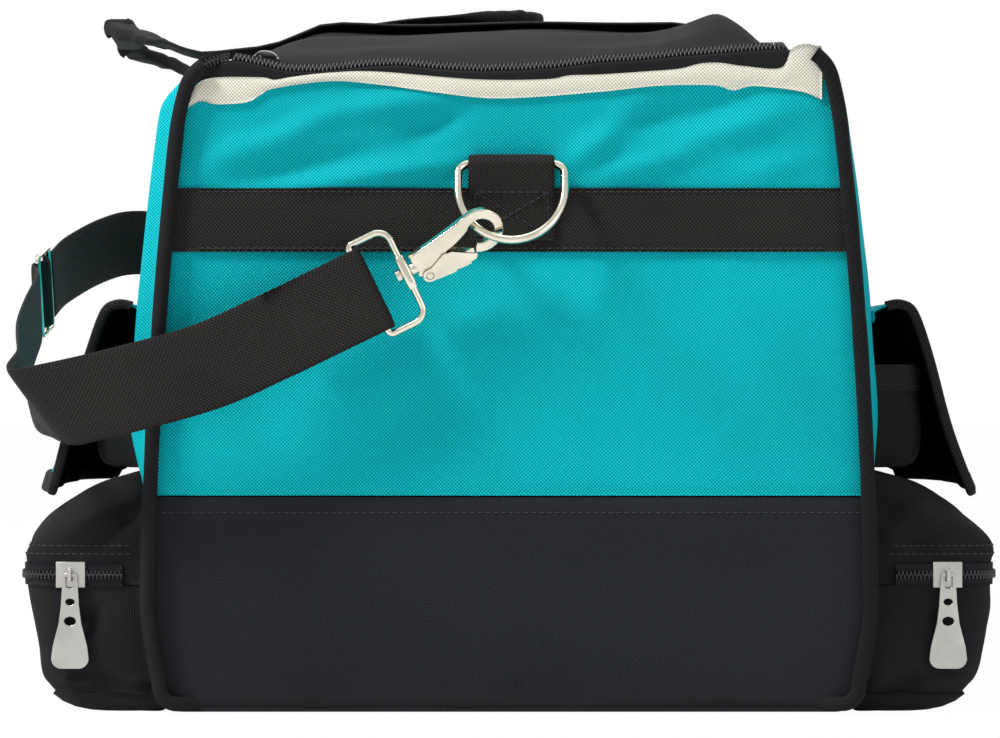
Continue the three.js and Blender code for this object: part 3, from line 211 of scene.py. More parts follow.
# %% Cloth patterns
def linear(*rgb):
    """sRGB from 0 to 255 as linear light."""
    return tuple((c / 255) / 12.92 if c <= 10 else ((c / 255 + 0.055) / 1.055) ** 2.4 for c in rgb)


CLOTH = {"Specular_IOR_Level": 0.12}
RIB_LENGTH, THREAD_WIDTH = 1.7, 0.95


def basket(name, dark, light, pitch, relief=0.22):
    """Basket weave: dots where sin(x) sin(y) is high, in cells of the given pitch in mm."""
    made = Surface(name, Roughness=0.78, **CLOTH)
    u, v = made.cloth()
    turn = math.pi / pitch
    dots = (u * turn).sin() * (v * turn).sin() * 0.5 + 0.5
    height = dots * 0.8 + made.noise(2600.0, 1.0) * 0.2
    shade = dots.step(0.1, 0.8) * 0.9 + made.noise(9.0) * 0.3 - 0.08
    made.wire(shade.between(dark, light), "Base Color")
    made.relief(height, relief)
    return made.material


def twill(name, dark, light, pitch, relief=0.12):
    """Twill: lines that slant across the cloth, each broken into threads."""
    made = Surface(name, Roughness=0.8, **CLOTH)
    u, v = made.cloth()
    turn = 2 * math.pi / pitch
    lines = ((u + v * 0.6) * turn).sin() * 0.5 + 0.5
    threads = ((v - u * 0.2) * turn * 1.3).sin() * 0.5 + 0.5
    height = lines * 0.7 + threads * 0.3
    shade = height.step(0.1, 0.9) * 0.7 + made.noise(14.0) * 0.5 - 0.1
    made.wire(shade.between(dark, light), "Base Color")
    made.relief(height, relief)
    return made.material


def ribbed(name, dark, light, relief):
    """Webbing: columns of threads, each column shifted by half a rib from its neighbours."""
    made = Surface(name, Roughness=0.66, **CLOTH)
    u, v = made.cloth()
    shift = (v / THREAD_WIDTH).floor().modulo(2.0) * 0.5
    along = ((u / RIB_LENGTH + shift) * math.pi).sin().abs()
    across = (v * (math.pi / THREAD_WIDTH)).sin().abs()
    height = along.power(0.6) * (across * 0.6 + 0.4)
    shade = height.step(0.15, 0.95) * 0.8 + made.noise(22.0) * 0.3 - 0.06
    made.wire(shade.between(dark, light), "Base Color")
    made.relief(height, relief)
    return made.material


teal = basket("teal_weave", linear(0, 112, 122), linear(0, 204, 214), 0.8)
off_white = basket("off_white_weave", linear(176, 172, 154), linear(246, 244, 230), 0.8)
charcoal = twill("charcoal_twill", linear(6, 6, 7), linear(44, 45, 47), 1.0, 0.16)
oxford = basket("black_oxford", linear(10, 11, 12), linear(44, 46, 50), 0.75, 0.18)
webbing = ribbed("black_webbing", linear(2, 2, 2), linear(54, 51, 48), 0.4)
lining = twill("dark_lining", linear(4, 8, 9), linear(16, 26, 28), 0.8)
print("cloths made")

# %% [markdown]
# Metals carry fine scratches and small smears in their roughness, and a trace of waviness.

# %% Metals and plastics
def metal(name, colour, rough_low, rough_high, scratch=0.0):
    made = Surface(name, Metallic=1.0)
    smear = made.noise(90.0, 4.0)
    fine = made.noise(900.0, 2.0, (1, 1, 6))
    made.wire((smear * 0.7 + fine * 0.3) * (rough_high - rough_low) + rough_low, "Roughness")
    dull = tuple(0.8 * c for c in colour)
    made.wire(smear.step(0.2, 0.8).between(dull, colour), "Base Color")
    made.relief(smear * 0.4 + fine * scratch, 0.02)
    return made.material


def plastic(name, dark, light, roughness):
    made = Surface(name)
    grain = made.noise(500.0, 3.0)
    made.wire(grain.between(dark, light), "Base Color")
    made.wire(grain * 0.2 + roughness, "Roughness")
    made.relief(grain, 0.03)
    return made.material


nickel = metal("polished_nickel", linear(246, 238, 218), 0.06, 0.2)
satin = metal("satin_nickel", linear(205, 203, 197), 0.3, 0.46, 0.6)
bronze = metal("dark_rivet", linear(34, 30, 27), 0.15, 0.3)
coil_plastic = plastic("coil_black", linear(14, 14, 15), linear(40, 40, 42), 0.28)
thread_black = plastic("thread_black", linear(20, 20, 22), linear(60, 60, 64), 0.6)
thread_blue = plastic("thread_blue", linear(22, 30, 44), linear(44, 56, 78), 0.6)
board = plastic("board_black", linear(24, 24, 25), linear(44, 44, 46), 0.55)
print("materials:", len(bpy.data.materials))

# %% [markdown]
# ## Mesh words
#
# A piece is a grid of points. Its quads join neighbouring rows and columns, and a piece that
# closes on itself joins its last row or column to its first. Every corner also gets its place
# on the cloth, in metres, so that a weave keeps its scale wherever the surface goes.

# %% Grids
def unit(vectors):
    return vectors / np.linalg.norm(vectors, axis=-1, keepdims=True)


def put(name, points, faces, cloth, material, body=None, slot=None):
    """One object from points, quads of point numbers and each corner's place on the cloth.

    The sign of the volume, the sum of a . (b x c + c x d) over the quads, turns the faces out.
    """
    points, faces, cloth = np.asarray(points), np.asarray(faces), np.asarray(cloth)
    a, b, c, d = (points[faces[:, k]] for k in range(4))
    if np.sum(a * (np.cross(b, c) + np.cross(c, d))) < 0:
        faces, cloth = faces[:, ::-1], cloth[:, ::-1]
    mesh = bpy.data.meshes.new(name)
    mesh.from_pydata(points.tolist(), [], faces.tolist())
    layer = mesh.uv_layers.new(name="cloth")
    layer.data.foreach_set("uv", cloth.astype(np.float32).ravel())
    mesh.shade_smooth()
    mesh.materials.append(material)
    made = bpy.data.objects.new(name, mesh)
    bpy.context.scene.collection.objects.link(made)
    if body:
        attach(made, body)
    return made


def run_along(path):
    """How far along a path each of its points lies."""
    return np.concatenate([[0], np.cumsum(np.linalg.norm(np.diff(path, axis=0), axis=1))])


def at_places(places, run, values):
    """The columns of values, known at the lengths in run, read off at other places."""
    return np.stack([np.interp(places, run, column) for column in values.T], 1)


def lengths(points, axis):
    """How far along its own line each point of a grid lies."""
    steps = np.linalg.norm(np.diff(points, axis=axis), axis=2)
    start = np.zeros_like(np.take(steps, [0], axis=axis))
    return np.concatenate([start, np.cumsum(steps, axis=axis)], axis=axis)


def grid(points, wrap_rows=False, wrap_columns=False, places=None):
    """Quads of a grid and their corners' places: length along the rows' line, then the columns'."""
    rows, columns = points.shape[:2]
    full = np.concatenate([points, points[:1]], 0) if wrap_rows else points
    full = np.concatenate([full, full[:, :1]], 1) if wrap_columns else full
    u, v = places if places else (lengths(full, 0), lengths(full, 1))
    i, j = np.meshgrid(*(np.arange(n - 1) for n in full.shape[:2]), indexing="ij")
    row = np.stack([i, i + 1, i + 1, i], -1).reshape(-1, 4)
    column = np.stack([j, j, j + 1, j + 1], -1).reshape(-1, 4)
    faces = (row % rows) * columns + column % columns
    return faces, np.stack([u[row, column], v[row, column]], -1)


def normals(points, wrap_rows=False):
    """Unit normals of a grid: the cross product of its two directions."""
    if wrap_rows:
        along = np.roll(points, -1, 0) - np.roll(points, 1, 0)
    else:
        along = np.gradient(points, axis=0)
    cross = np.cross(along, np.gradient(points, axis=1))
    return cross / np.maximum(np.linalg.norm(cross, axis=2, keepdims=True), 1e-12)


print("grid words ready")

# %% [markdown]
# A sheet of cloth is a grid, a second grid one thickness behind it, and a rim that joins both.

# %% Sheets
def slab_parts(surface, thickness, wrap_rows=False, out=None, places=None):
    """A closed sheet: the surface, a copy of it one thickness further in, and the edges.

    inner = surface - thickness * n, where the unit normal n points the way of the vector out.
    """
    n = normals(surface, wrap_rows)
    if out is not None and np.sum(n * np.asarray(out)) < 0:
        n = -n
    rows, columns = surface.shape[:2]
    count = rows * columns
    points = np.concatenate([surface.reshape(-1, 3), (surface - n * thickness).reshape(-1, 3)])
    faces, cloth = grid(surface, wrap_rows, places=places)
    number = np.arange(count).reshape(rows, columns)
    if wrap_rows:
        number = np.concatenate([number, number[:1]], 0)
        lines = [number[:, -1], number[::-1, 0]]
    else:
        lines = [number[0], number[:, -1], number[-1, ::-1], number[::-1, 0]]
    line = np.concatenate([np.stack([each[1:], each[:-1]], 1) for each in lines])
    rim = np.concatenate([line, line[:, ::-1] + count], 1)
    step = np.linalg.norm(points[line[:, 0]] - points[line[:, 1]], axis=1)
    run = np.cumsum(step)
    flat, deep = np.zeros_like(run), np.full_like(run, thickness)
    rim_cloth = np.stack([run, flat, run - step, flat, run - step, deep, run, deep], 1)
    every = np.concatenate([faces, faces[:, ::-1] + count, rim])
    return points, every, np.concatenate([cloth, cloth[:, ::-1], rim_cloth.reshape(-1, 4, 2)])


def slab(name, surface, thickness, material, body, slot=None, **shape):
    return put(name, *slab_parts(surface, thickness, **shape), material, body, slot)


def join(name, parts, material, body, slot=None):
    """One object from several closed shells, each given as points, quads and cloth places."""
    start = np.cumsum([0] + [len(each[0]) for each in parts])
    points = np.concatenate([each[0] for each in parts])
    faces = np.concatenate([each[1] + first for each, first in zip(parts, start)])
    return put(name, points, faces, np.concatenate([p[2] for p in parts]), material, body, slot)


print("sheet words ready")

# %% [markdown]
# Wire, cord and webbing are rings of points that are carried along a path.

# %% Sweeps
def cap_quads(ring):
    """A ring of an even number of points closed by a strip of quads between its two halves."""
    half = len(ring) // 2
    k = np.arange(half - 1)
    return np.stack([ring[k], ring[k + 1], ring[len(ring) - 2 - k], ring[len(ring) - 1 - k]], 1)


def swept(rings, closed=False):
    """Rings of points joined one to the next, with a cap at each end of an open sweep."""
    faces, cloth = grid(rings, closed, True)
    points = rings.reshape(-1, 3)
    if not closed:
        first = np.arange(rings.shape[1])
        caps = np.concatenate([cap_quads(first[::-1]), cap_quads(first + len(points) - len(first))])
        faces = np.concatenate([faces, caps])
        cloth = np.concatenate([cloth, points[caps][..., :2]])
    return points, faces, cloth


FIRST_SIDE = (0.31, 0.87, 0.38)


def square_to(path, closed=False):
    """Two directions square to a path and to each other, carried on from point to point."""
    ahead = np.roll(path, -1, 0) - np.roll(path, 1, 0) if closed else np.gradient(path, axis=0)
    ahead = unit(ahead)
    n = np.array(FIRST_SIDE)
    side = []
    for along in ahead:
        n = n - along * n.dot(along)
        n = n / np.linalg.norm(n)
        side.append(n)
    side = np.array(side)
    return side, np.cross(ahead, side)


def tube_parts(path, radius, sides=12, closed=False):
    """A round wire: path + r (n cos a + b sin a), with n and b square to the path."""
    path = np.asarray(path, float)
    n, b = square_to(path, closed)
    angle = np.linspace(0, 2 * math.pi, sides, endpoint=False)[None, :, None]
    r = np.broadcast_to(radius, len(path))[:, None, None]
    return swept(path[:, None] + r * (n[:, None] * np.cos(angle) + b[:, None] * np.sin(angle)), closed)


def tube(name, path, radius, material, body, slot=None, **shape):
    return put(name, *tube_parts(path, radius, **shape), material, body, slot)


def ribbon_parts(path, across, width, thickness, sides=20, ruled=False):
    """Webbing: a flat section with rounded edges carried along a path.

    The section is s = w/2 |cos a|^0.3 and n = t/2 |sin a|^0.7, each with its sign, s along the
    webbing's width and n square to it. A ruled ribbon keeps its sections along the vectors
    across, even aslant, as a folded strap does.
    """
    path = np.asarray(path, float)
    ahead = unit(np.gradient(path, axis=0))
    side = across - ahead * np.sum(across * ahead, axis=1, keepdims=True)
    reach = np.linalg.norm(side, axis=1, keepdims=True)
    up = np.cross(side / reach, ahead)
    side = across / reach if ruled else side / reach
    wide, thick = (np.broadcast_to(v, len(path))[:, None, None] / 2 for v in (width, thickness))
    cos, sin = (f((np.arange(sides) + 0.5) * 2 * math.pi / sides)[:, None] for f in (np.cos, np.sin))
    s = np.sign(cos) * np.abs(cos) ** 0.3 * wide
    n = np.sign(sin) * np.abs(sin) ** 0.7 * thick
    return swept(path[:, None] + s * side[:, None] + n * up[:, None])


def ribbon(name, path, across, width, thickness, material, body, slot=None, **shape):
    parts = ribbon_parts(path, np.broadcast_to(across, np.shape(path)), width, thickness, **shape)
    return put(name, *parts, material, body, slot)


print("sweep words ready")

# %% [markdown]
# A seam is many short bars of thread, and all the bars of one seam are one piece.

# %% Thread
STITCH_PITCH, STITCH_LENGTH, STITCH_RADIUS = 0.0034, 0.0024, 0.0003


def stitches(name, runs, material, body):
    """Thread along paths, each given with the vector out of its cloth.

    A stitch is a short hexagonal bar, thin at both ends: ring(j) = middle + j length
    + r(j) (n cos a + b sin a), lifted a little along the vector out.
    """
    rings = []
    angle = np.linspace(0, 2 * math.pi, 6, endpoint=False)[None, None, :, None]
    share = np.array([-0.5, -0.3, 0.3, 0.5])[None, :, None]
    size = np.array([0.3, 1.0, 1.0, 0.3])[None, :, None, None] * STITCH_RADIUS
    for path, out in runs:
        run = run_along(path)
        middle = np.arange(STITCH_PITCH / 2, run[-1], STITCH_PITCH)
        both = np.concatenate([path, np.gradient(path, run, axis=0)], 1)
        both = at_places(middle, run, both)
        at, ahead = both[:, :3], unit(both[:, 3:])
        n = unit(out - ahead * np.sum(out * ahead, axis=1, keepdims=True))
        b = np.cross(ahead, n)
        centre = at[:, None] + share * STITCH_LENGTH * ahead[:, None]
        rings.append(centre[:, :, None] + size * (
            n[:, None, None] * (np.cos(angle) + 0.4) + b[:, None, None] * np.sin(angle)
        ))
    return many(name, np.concatenate(rings), material, body)


def crossed_box(half, low, high):
    """The four sides and two diagonals of a box of thread, as points (across, height)."""
    corners = np.array([(-half, low), (half, low), (half, high), (-half, high)])
    t = np.linspace(0, 1, 12)[:, None]
    pairs = ((0, 1), (1, 2), (2, 3), (3, 0), (0, 2), (1, 3))
    return [corners[a] * (1 - t) + corners[b] * t for a, b in pairs]


def many(name, rings, material, body, slot=None):
    """The same small swept piece many times: rings has the pieces first, then rings, points."""
    pieces, count, sides = rings.shape[:3]
    points, faces, cloth = swept(rings[0])
    first = np.arange(pieces)[:, None, None] * (count * sides)
    every = (faces[None] + first).reshape(-1, 4)
    return put(name, rings.reshape(-1, 3), every, np.tile(cloth, (pieces, 1, 1)), material, body, slot)


print("thread words ready")

# %% [markdown]
# Curves through a few given points are cubic from point to point, and are read at even steps.

# %% Curves
def smooth(points, count):
    """count points at even steps on a curve through the given points."""
    p = np.asarray(points, float)
    p = np.concatenate([[2 * p[0] - p[1]], p, [2 * p[-1] - p[-2]]])
    fine = []
    for a, b, c, d in zip(p[:-3], p[1:-2], p[2:-1], p[3:]):
        for t in np.linspace(0, 1, 24, endpoint=False):
            fine.append(
                0.5 * (2 * b + (c - a) * t + (2 * a - 5 * b + 4 * c - d) * t**2
                       + (3 * b - a - 3 * c + d) * t**3)
            )
    fine.append(p[-2])
    fine = np.array(fine)
    run = run_along(fine)
    return at_places(np.linspace(0, run[-1], count), run, fine)


def smoothstep(x):
    x = np.clip(x, 0, 1)
    return x * x * (3 - 2 * x)


WAVE_COUNT = 7


def waves(a, b, seed, scale):
    """Soft irregular waves from -1 to 1: a sum of sines in directions drawn from the seed."""
    draw = np.random.default_rng(seed)
    total = np.zeros(np.broadcast(a, b).shape)
    for _ in range(WAVE_COUNT):
        angle, phase = draw.uniform(0, 2 * math.pi, 2)
        pitch = scale * draw.uniform(0.6, 1.6)
        turn = 2 * math.pi / pitch
        total += np.sin((a * math.cos(angle) + b * math.sin(angle)) * turn + phase)
    return total / math.sqrt(WAVE_COUNT) / 1.6


print("curve words ready")

# %% [markdown]
# ## The bag's measures
#
# These repeat the solid model's own formulas, so that each surface lies where its solid lies.

# %% Measures
HEIGHT = 0.286
HALF_LENGTH = 0.28
FOOT_HALF_WIDTH = 0.156
TAPER, TAPER_POWER = 0.017, 2.2
BULGE, BULGE_POWER = 0.007, 10
EDGE_ROUND = 0.012
FLARE, FLARE_FADE = 0.0065, 0.05
SEAM = 0.095
SIDES = {"left": -1, "right": 1}
ENDS = {"near": -1, "far": 1}


def half_width(z, y):
    """Half the body's width: it tapers upwards, bulges between its ends, rounds at its edges.

    Stuffed cloth pushes the end seams out as well, by FLARE, which dies out at floor and rim.
    """
    share = np.clip(z / HEIGHT, 0, 1)
    along = np.clip(np.abs(y) / HALF_LENGTH, 0, 1) ** BULGE_POWER
    bulge = BULGE * np.sin(math.pi * share) * (1 - along)
    flare = FLARE * along * smoothstep(z / FLARE_FADE)
    flare = flare * smoothstep((HEIGHT + 0.02 - z) / FLARE_FADE)
    low = np.clip(EDGE_ROUND - z, 0, EDGE_ROUND)
    high = np.clip(z - (HEIGHT - EDGE_ROUND), 0, EDGE_ROUND)
    rounded = 2 * EDGE_ROUND - np.sqrt(EDGE_ROUND**2 - low**2) - np.sqrt(EDGE_ROUND**2 - high**2)
    return FOOT_HALF_WIDTH - TAPER * share**TAPER_POWER + bulge + flare - rounded


print("width at the foot and the top:", 2 * half_width(np.array([0.02, 0.27]), HALF_LENGTH))

# %% [markdown]
# The end panels' folds are placed where the photograph shows them. A fold is a line between two
# of its pixels, with a width in pixels and a height in millimetres; below zero it is a hollow.

# %% Folds
def ridges(a, b, folds):
    """A sum of ridges h exp(-d^2 / w^2) sin(...), where d is the distance from a ridge's line.

    Each fold is given as the start and end of its line, its width and its height, in metres;
    a ridge is highest half way along its line.
    """
    total = np.zeros(np.broadcast(a, b).shape)
    for start, end, width, height in folds:
        along = np.subtract(end, start)
        t = np.clip(((a - start[0]) * along[0] + (b - start[1]) * along[1]) / along.dot(along), 0, 1)
        d = np.hypot(a - start[0] - t * along[0], b - start[1] - t * along[1]) / width
        total = total + height * np.exp(-(d**2)) * np.sin(math.pi * (0.1 + 0.8 * t))
    return total


FOLD_DEPTH = 1.35
SEEN_FOLDS = [
    ((190, 168), (330, 112), 14, 3.6), ((330, 112), (450, 92), 14, 3.0),
    ((205, 186), (380, 150), 12, -3.0), ((300, 186), (468, 160), 10, 3.0),
    ((240, 140), (300, 118), 12, -2.6), ((400, 140), (460, 112), 12, -2.4),
    ((560, 172), (640, 110), 14, 3.0), ((600, 130), (760, 100), 14, -3.0),
    ((690, 140), (826, 108), 12, 3.6), ((745, 172), (830, 158), 10, 2.6),
    ((590, 180), (700, 150), 10, 2.4), ((560, 280), (720, 420), 34, 3.4),
    ((300, 410), (520, 330), 40, 3.2), ((200, 520), (330, 690), 40, 2.4),
    ((560, 560), (800, 600), 44, -2.2), ((640, 210), (820, 300), 26, -3.0),
    ((180, 300), (300, 470), 30, -3.0), ((740, 340), (850, 470), 30, 2.8),
    ((420, 560), (560, 690), 36, 2.2),
]
FOLDS = [(from_photo(*start), from_photo(*end), width * PIXEL, FOLD_DEPTH * height * MM)
         for start, end, width, height in SEEN_FOLDS]


def panel_out(x, z):
    """How far an end panel stands out of its plane, in metres: its folds and small waves."""
    edge = np.clip(1 - (x / (half_width(z, HALF_LENGTH) - 0.005)) ** 4, 0, 1)
    edge = edge * smoothstep((HEIGHT - z) / 0.02) * smoothstep(z / 0.02)
    return edge * (ridges(x, z, FOLDS) + 0.6 * MM * waves(x, z, 3, 0.06))


print("folds:", len(FOLDS))

# %% [markdown]
# The rim isn't level: under the pull of the zip it dips at the near left corner and lifts at
# the near right one. Everything sewn to the rim follows the same lift.

# %% Rim
SHOULDER = 0.127
LIFT_FROM, LIFT_RUN = 0.25, 0.036
ZIP_LINE = np.array([
    (-138.6, 276.8), (-136.4, 281.2), (-132.7, 285.2), (-126.3, 287.8), (-120.2, 288.7),
    (-109.6, 286.5), (-98.2, 283.9), (-83.2, 283.7), (-61.2, 286.1), (-48, 286.5),
    (-30.4, 284.8), (-12.8, 283.9), (4.8, 284.3), (22.4, 285.6), (40, 287.8), (57.6, 288.7),
    (75.2, 290.5), (92.8, 291.8), (110.4, 293.1), (123.6, 294),
]) * MM
ZIP_LEVEL = 0.2878
RIM_FADE = 0.17


def zip_height(x, y):
    """Height of the zip: the seen line at both ends, level along the middle of the right side."""
    seen = np.interp(x, ZIP_LINE[:, 0], ZIP_LINE[:, 1])
    share = smoothstep((np.abs(y) - RIM_FADE) / (HALF_LENGTH - 0.005 - RIM_FADE))
    return ZIP_LEVEL + (seen - ZIP_LEVEL) * share


def rim_lift(x, y):
    return zip_height(np.clip(x, -0.12, 0.123), y) - ZIP_LEVEL


def lifted(x, y, z):
    """The wall's top 36 mm stretch or shrink so that the rim comes to its height."""
    return z + rim_lift(x, y) * smoothstep((z - LIFT_FROM) / LIFT_RUN)


print("rim's lift at both near corners:", np.round(rim_lift(np.array([-0.12, 0.12]), -0.275), 4))

# %% [markdown]
# Each side wall has soft dents and puffs out beside its end seams. A point of a wall or of an
# end panel is found from its place along the wall and its height, off the face by some distance.

# %% Wall points
PUFFS = {-1: 0.0088, 1: 0.0038}
PUFF_Y, PUFF_WIDTH = 0.266, 0.011


def side_out(side, y, z):
    """How far a side wall stands out of its plain form.

    Soft dents die out at the seams, and beside each end seam the cloth puffs out in a ridge
    p exp(-d^2 / w^2), where d is the distance from the ridge's line.
    """
    fade = smoothstep(z / 0.03) * smoothstep((HEIGHT - z) / 0.03)
    fade = fade * smoothstep((HALF_LENGTH - np.abs(y)) / 0.03)
    dents = waves(y, z, 5 + side, 0.12) + 0.7 * waves(y, z, 9 + side, 0.05)
    ridge = PUFFS[side] * np.exp(-(((np.abs(y) - PUFF_Y) / PUFF_WIDTH) ** 2))
    ridge = ridge * smoothstep((z - 0.085) / 0.05) * smoothstep((HEIGHT - z) / 0.02)
    return fade * MM * dents + ridge * smoothstep((HALF_LENGTH - np.abs(y)) / 0.012)


def wall(side, out, y, z):
    """A point of a side wall, out metres off its outer face."""
    y, z, out = np.broadcast_arrays(np.asarray(y, float), z, out)
    x = side * (half_width(z, y) + side_out(side, y, z) + out)
    return np.stack([x, y, lifted(x, y, z)], -1)


def end_panel(end, out, x, z):
    """A point of an end panel; end is -1 at the near end and 1 at the far one."""
    x, z, out = np.broadcast_arrays(np.asarray(x, float), z, out)
    seen = -end * x
    y = end * (HALF_LENGTH + panel_out(seen, z) + out)
    return np.stack([x, y, lifted(x, y, z)], -1)


print("middle of the near panel:", np.round(end_panel(-1, 0.0, 0.0, 0.14), 4))

# %% [markdown]
# ## Body walls
#
# The four walls are one surface that runs round the bag, with its corners rounded by 3 mm, so
# that no seam opens between a side and an end. The teal part and the black part meet in a
# pinched seam.

# %% Walls
CORNER = 0.003
SEAM_PINCH, PINCH_WIDTH = 0.0009, 0.003
WALL_THICKNESS = 0.004
INSIDE = np.array((0, 0, 0.15))


def pinch(z):
    return -SEAM_PINCH * np.exp(-(((z - SEAM) / PINCH_WIDTH) ** 2))


def walls(heights, side_steps, end_steps):
    """Rows run round the bag, columns up it. Returns the surface and its cloth places."""
    z = np.asarray(heights)[None, :]
    share = np.linspace(-1, 1, end_steps)[:, None]
    y = np.sin(np.linspace(-1, 1, side_steps) * math.pi / 2)[:, None] * (HALF_LENGTH - CORNER)
    quarter = np.linspace(0, math.pi / 2, 5)[1:-1][:, None]
    width = half_width(z, HALF_LENGTH)
    bend = pinch(z)
    rows, places = [], []

    def add(points, along):
        rows.append(points)
        places.append(np.broadcast_to(along, points.shape[:2]))

    def corner(side, end, start, turn):
        angle = start + turn * quarter
        x = side * (width - CORNER) + CORNER * np.cos(angle)
        at = end * (HALF_LENGTH - CORNER) + CORNER * np.sin(angle)
        x, at, level = np.broadcast_arrays(x, at, z)
        add(np.stack([x, at, lifted(x, at, level)], -1), side * 0.15 + CORNER * quarter)

    add(wall(1, bend, y, z), y)
    corner(1, 1, 0, 1)
    x = -share * (width - CORNER)
    add(end_panel(1, bend, x, z), x)
    corner(-1, 1, math.pi / 2, 1)
    add(wall(-1, bend, -y, z), -y)
    corner(-1, -1, math.pi, 1)
    add(end_panel(-1, bend, -x, z), -x)
    corner(1, -1, 1.5 * math.pi, 1)
    surface = np.concatenate(rows)
    u = np.concatenate(places)
    u = np.concatenate([u, u[:1]])
    return surface, (u, np.broadcast_to(z, u.shape))


top_turn = np.linspace(0.12, 0.55, 6) * math.pi / 2
shell_heights = np.concatenate([[0.0953, 0.0963], np.linspace(0.0983, 0.272, 60),
                                HEIGHT - EDGE_ROUND * (1 - np.sin(top_turn))])
surface, places = walls(shell_heights, 70, 150)
body_shell = slab("body_walls_upper", surface, WALL_THICKNESS, teal, "bag", "teal_fabric",
                  wrap_rows=True, places=places, out=surface - INSIDE)
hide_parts("body_shell")

foot_turn = np.linspace(0.1, 1, 8) * math.pi / 2
tub_heights = np.concatenate([EDGE_ROUND * (1 - np.cos(foot_turn)),
                              np.linspace(0.016, 0.0917, 26), [0.0937, 0.0947]])
surface, places = walls(tub_heights, 70, 110)
base_tub = slab("body_walls_lower", surface, WALL_THICKNESS, oxford, "bag", "charcoal_fabric",
                wrap_rows=True, places=places, out=surface - INSIDE)
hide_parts("base_tub")
print("walls:", len(body_shell.data.polygons), len(base_tub.data.polygons))

# %% [markdown]
# The bottom is a flat panel of the same black cloth, and a stiff board lies on it.

# %% Bottom
def bottom_panel():
    """x = s w(y) for s from -1 to 1, a little under the lowest edge of the walls."""
    y = np.linspace(-0.2785, 0.2785, 60)[:, None]
    s = np.linspace(-1, 1, 40)[None, :]
    x = s * (half_width(0.0001, y) - 0.0003)
    z = np.full(x.shape, 0.0002) + 0.0002 * (1 + waves(x, y + 0 * s, 21, 0.08))
    return np.stack([x, np.broadcast_to(y, x.shape), z], -1)


bottom = slab("bottom_panel", bottom_panel(), 0.0038, oxford, "bag", "charcoal_fabric",
              out=(0, 0, -1))
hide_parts("base_tub")
for each in bpy.data.objects["base_board"].material_slots:
    each.material = board
print("bottom made")

# %% [markdown]
# Topstitching runs along the seam between the two cloths, 7 mm below it, round all four walls.

# %% Seam stitches
STITCH_LEVEL = 0.0878


def level_line(z, out):
    """The four lines round the bag at one height, out metres off the walls."""
    y = np.linspace(-1, 1, 120) * (HALF_LENGTH - 0.004)
    x = np.linspace(-1, 1, 120) * (half_width(z, HALF_LENGTH) - 0.004)
    return [wall(1, out, y, z), end_panel(1, out, -x, z), wall(-1, out, -y, z),
            end_panel(-1, out, x, z)]


outward = [(1, 0, 0), (0, 1, 0), (-1, 0, 0), (0, -1, 0)]
stitches("seam_stitches", zip(level_line(STITCH_LEVEL, 0.0), outward), thread_black, "bag")
print("seam stitched")

# %% [markdown]
# ## Piping
#
# A cord covered with cloth is sewn round each end panel. It runs down one side, under the panel
# and up the other side. Along the floor it is drawn in under the panel's edge. Its cloth is
# gathered a little, so its radius wavers.

# %% Piping
PIPING_RADIUS = 0.0033
PIPING_LOW, PIPING_TURN = 0.0038, 0.008


def piping_path(end):
    """Half of the line in x and z, from the rim down to the middle of the floor, and its mirror."""
    over = HEIGHT - EDGE_ROUND * (1 - np.cos(np.linspace(0.42, 1, 12) * math.pi / 2))
    down = np.concatenate([over, np.linspace(0.272, PIPING_LOW + PIPING_TURN, 84)])
    left = np.stack([-(half_width(down, HALF_LENGTH) - PIPING_RADIUS), down], 1)
    turn = np.linspace(0, math.pi / 2, 10)[1:]
    centre = np.array([left[-1, 0] + PIPING_TURN, PIPING_LOW + PIPING_TURN])
    bend = centre - PIPING_TURN * np.stack([np.cos(turn), np.sin(turn)], 1)
    floor = np.stack([np.linspace(bend[-1, 0], 0, 40), np.full(40, PIPING_LOW)], 1)[1:]
    half = np.concatenate([left, bend, floor])
    xz = np.concatenate([half, (half * (-1, 1))[-2::-1]])
    under = smoothstep((0.149 - np.abs(xz[:, 0])) / 0.014) * (xz[:, 1] < 0.1)
    return end_panel(end, 0.0036 - 0.0064 * under, xz[:, 0], xz[:, 1])


for name, end in ENDS.items():
    path = piping_path(end)
    run = np.linspace(0, 1, len(path))
    radius = PIPING_RADIUS * (1 + 0.035 * waves(run * 3, run, 31, 0.12))
    piping = tube(f"piping_cord_{name}", path, radius, charcoal, "bag", "charcoal_fabric", sides=14)
    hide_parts(f"piping_{name}")
print("piping made")

# %% [markdown]
# ## Trim, belt and tab
#
# The off-white band follows the rim, and both its edges waver as sewn cloth does.
# Its two edges are drawn through points whose pixels were noted from the photograph.

# %% Trim
TRIM_TOP = [
    (186, 108.6), (191.6, 94), (207.6, 79), (260, 77.5), (274.5, 80), (293.7, 76.8), (330, 72.8),
    (377, 71.7), (473, 79.4), (545.7, 79.4), (568.7, 75.6), (600, 74.6), (649.7, 71.3),
    (679.6, 68.8), (699.5, 63.8), (719.4, 63), (744, 66.3), (780.8, 68), (790.7, 49.8),
    (804, 44), (816, 46),
]
TRIM_BOTTOM = [
    (186, 109.4), (201, 101.5), (217, 104.6), (247.4, 102.3), (261.8, 94.3), (274.5, 88.7),
    (330, 81.5), (380, 85), (470, 97), (520, 98), (600, 92), (658, 86), (712.8, 85.4),
    (732.7, 90.4), (754, 86.2), (799, 91.2), (821, 99.5),
]


def edge_line(pixels, x):
    """The height of an edge at x, from the pixels that it passes through."""
    line = np.array([from_photo(*pixel) for pixel in pixels])
    fine = smooth(line, 300)
    order = np.argsort(fine[:, 0])
    return np.interp(x, fine[order, 0], fine[order, 1])


def unlifted(x, z):
    """The wall height whose lifted place is z, by three steps of a fixed point."""
    level = z
    for _ in range(3):
        level = z - rim_lift(x, -HALF_LENGTH) * smoothstep((level - LIFT_FROM) / LIFT_RUN)
    return level


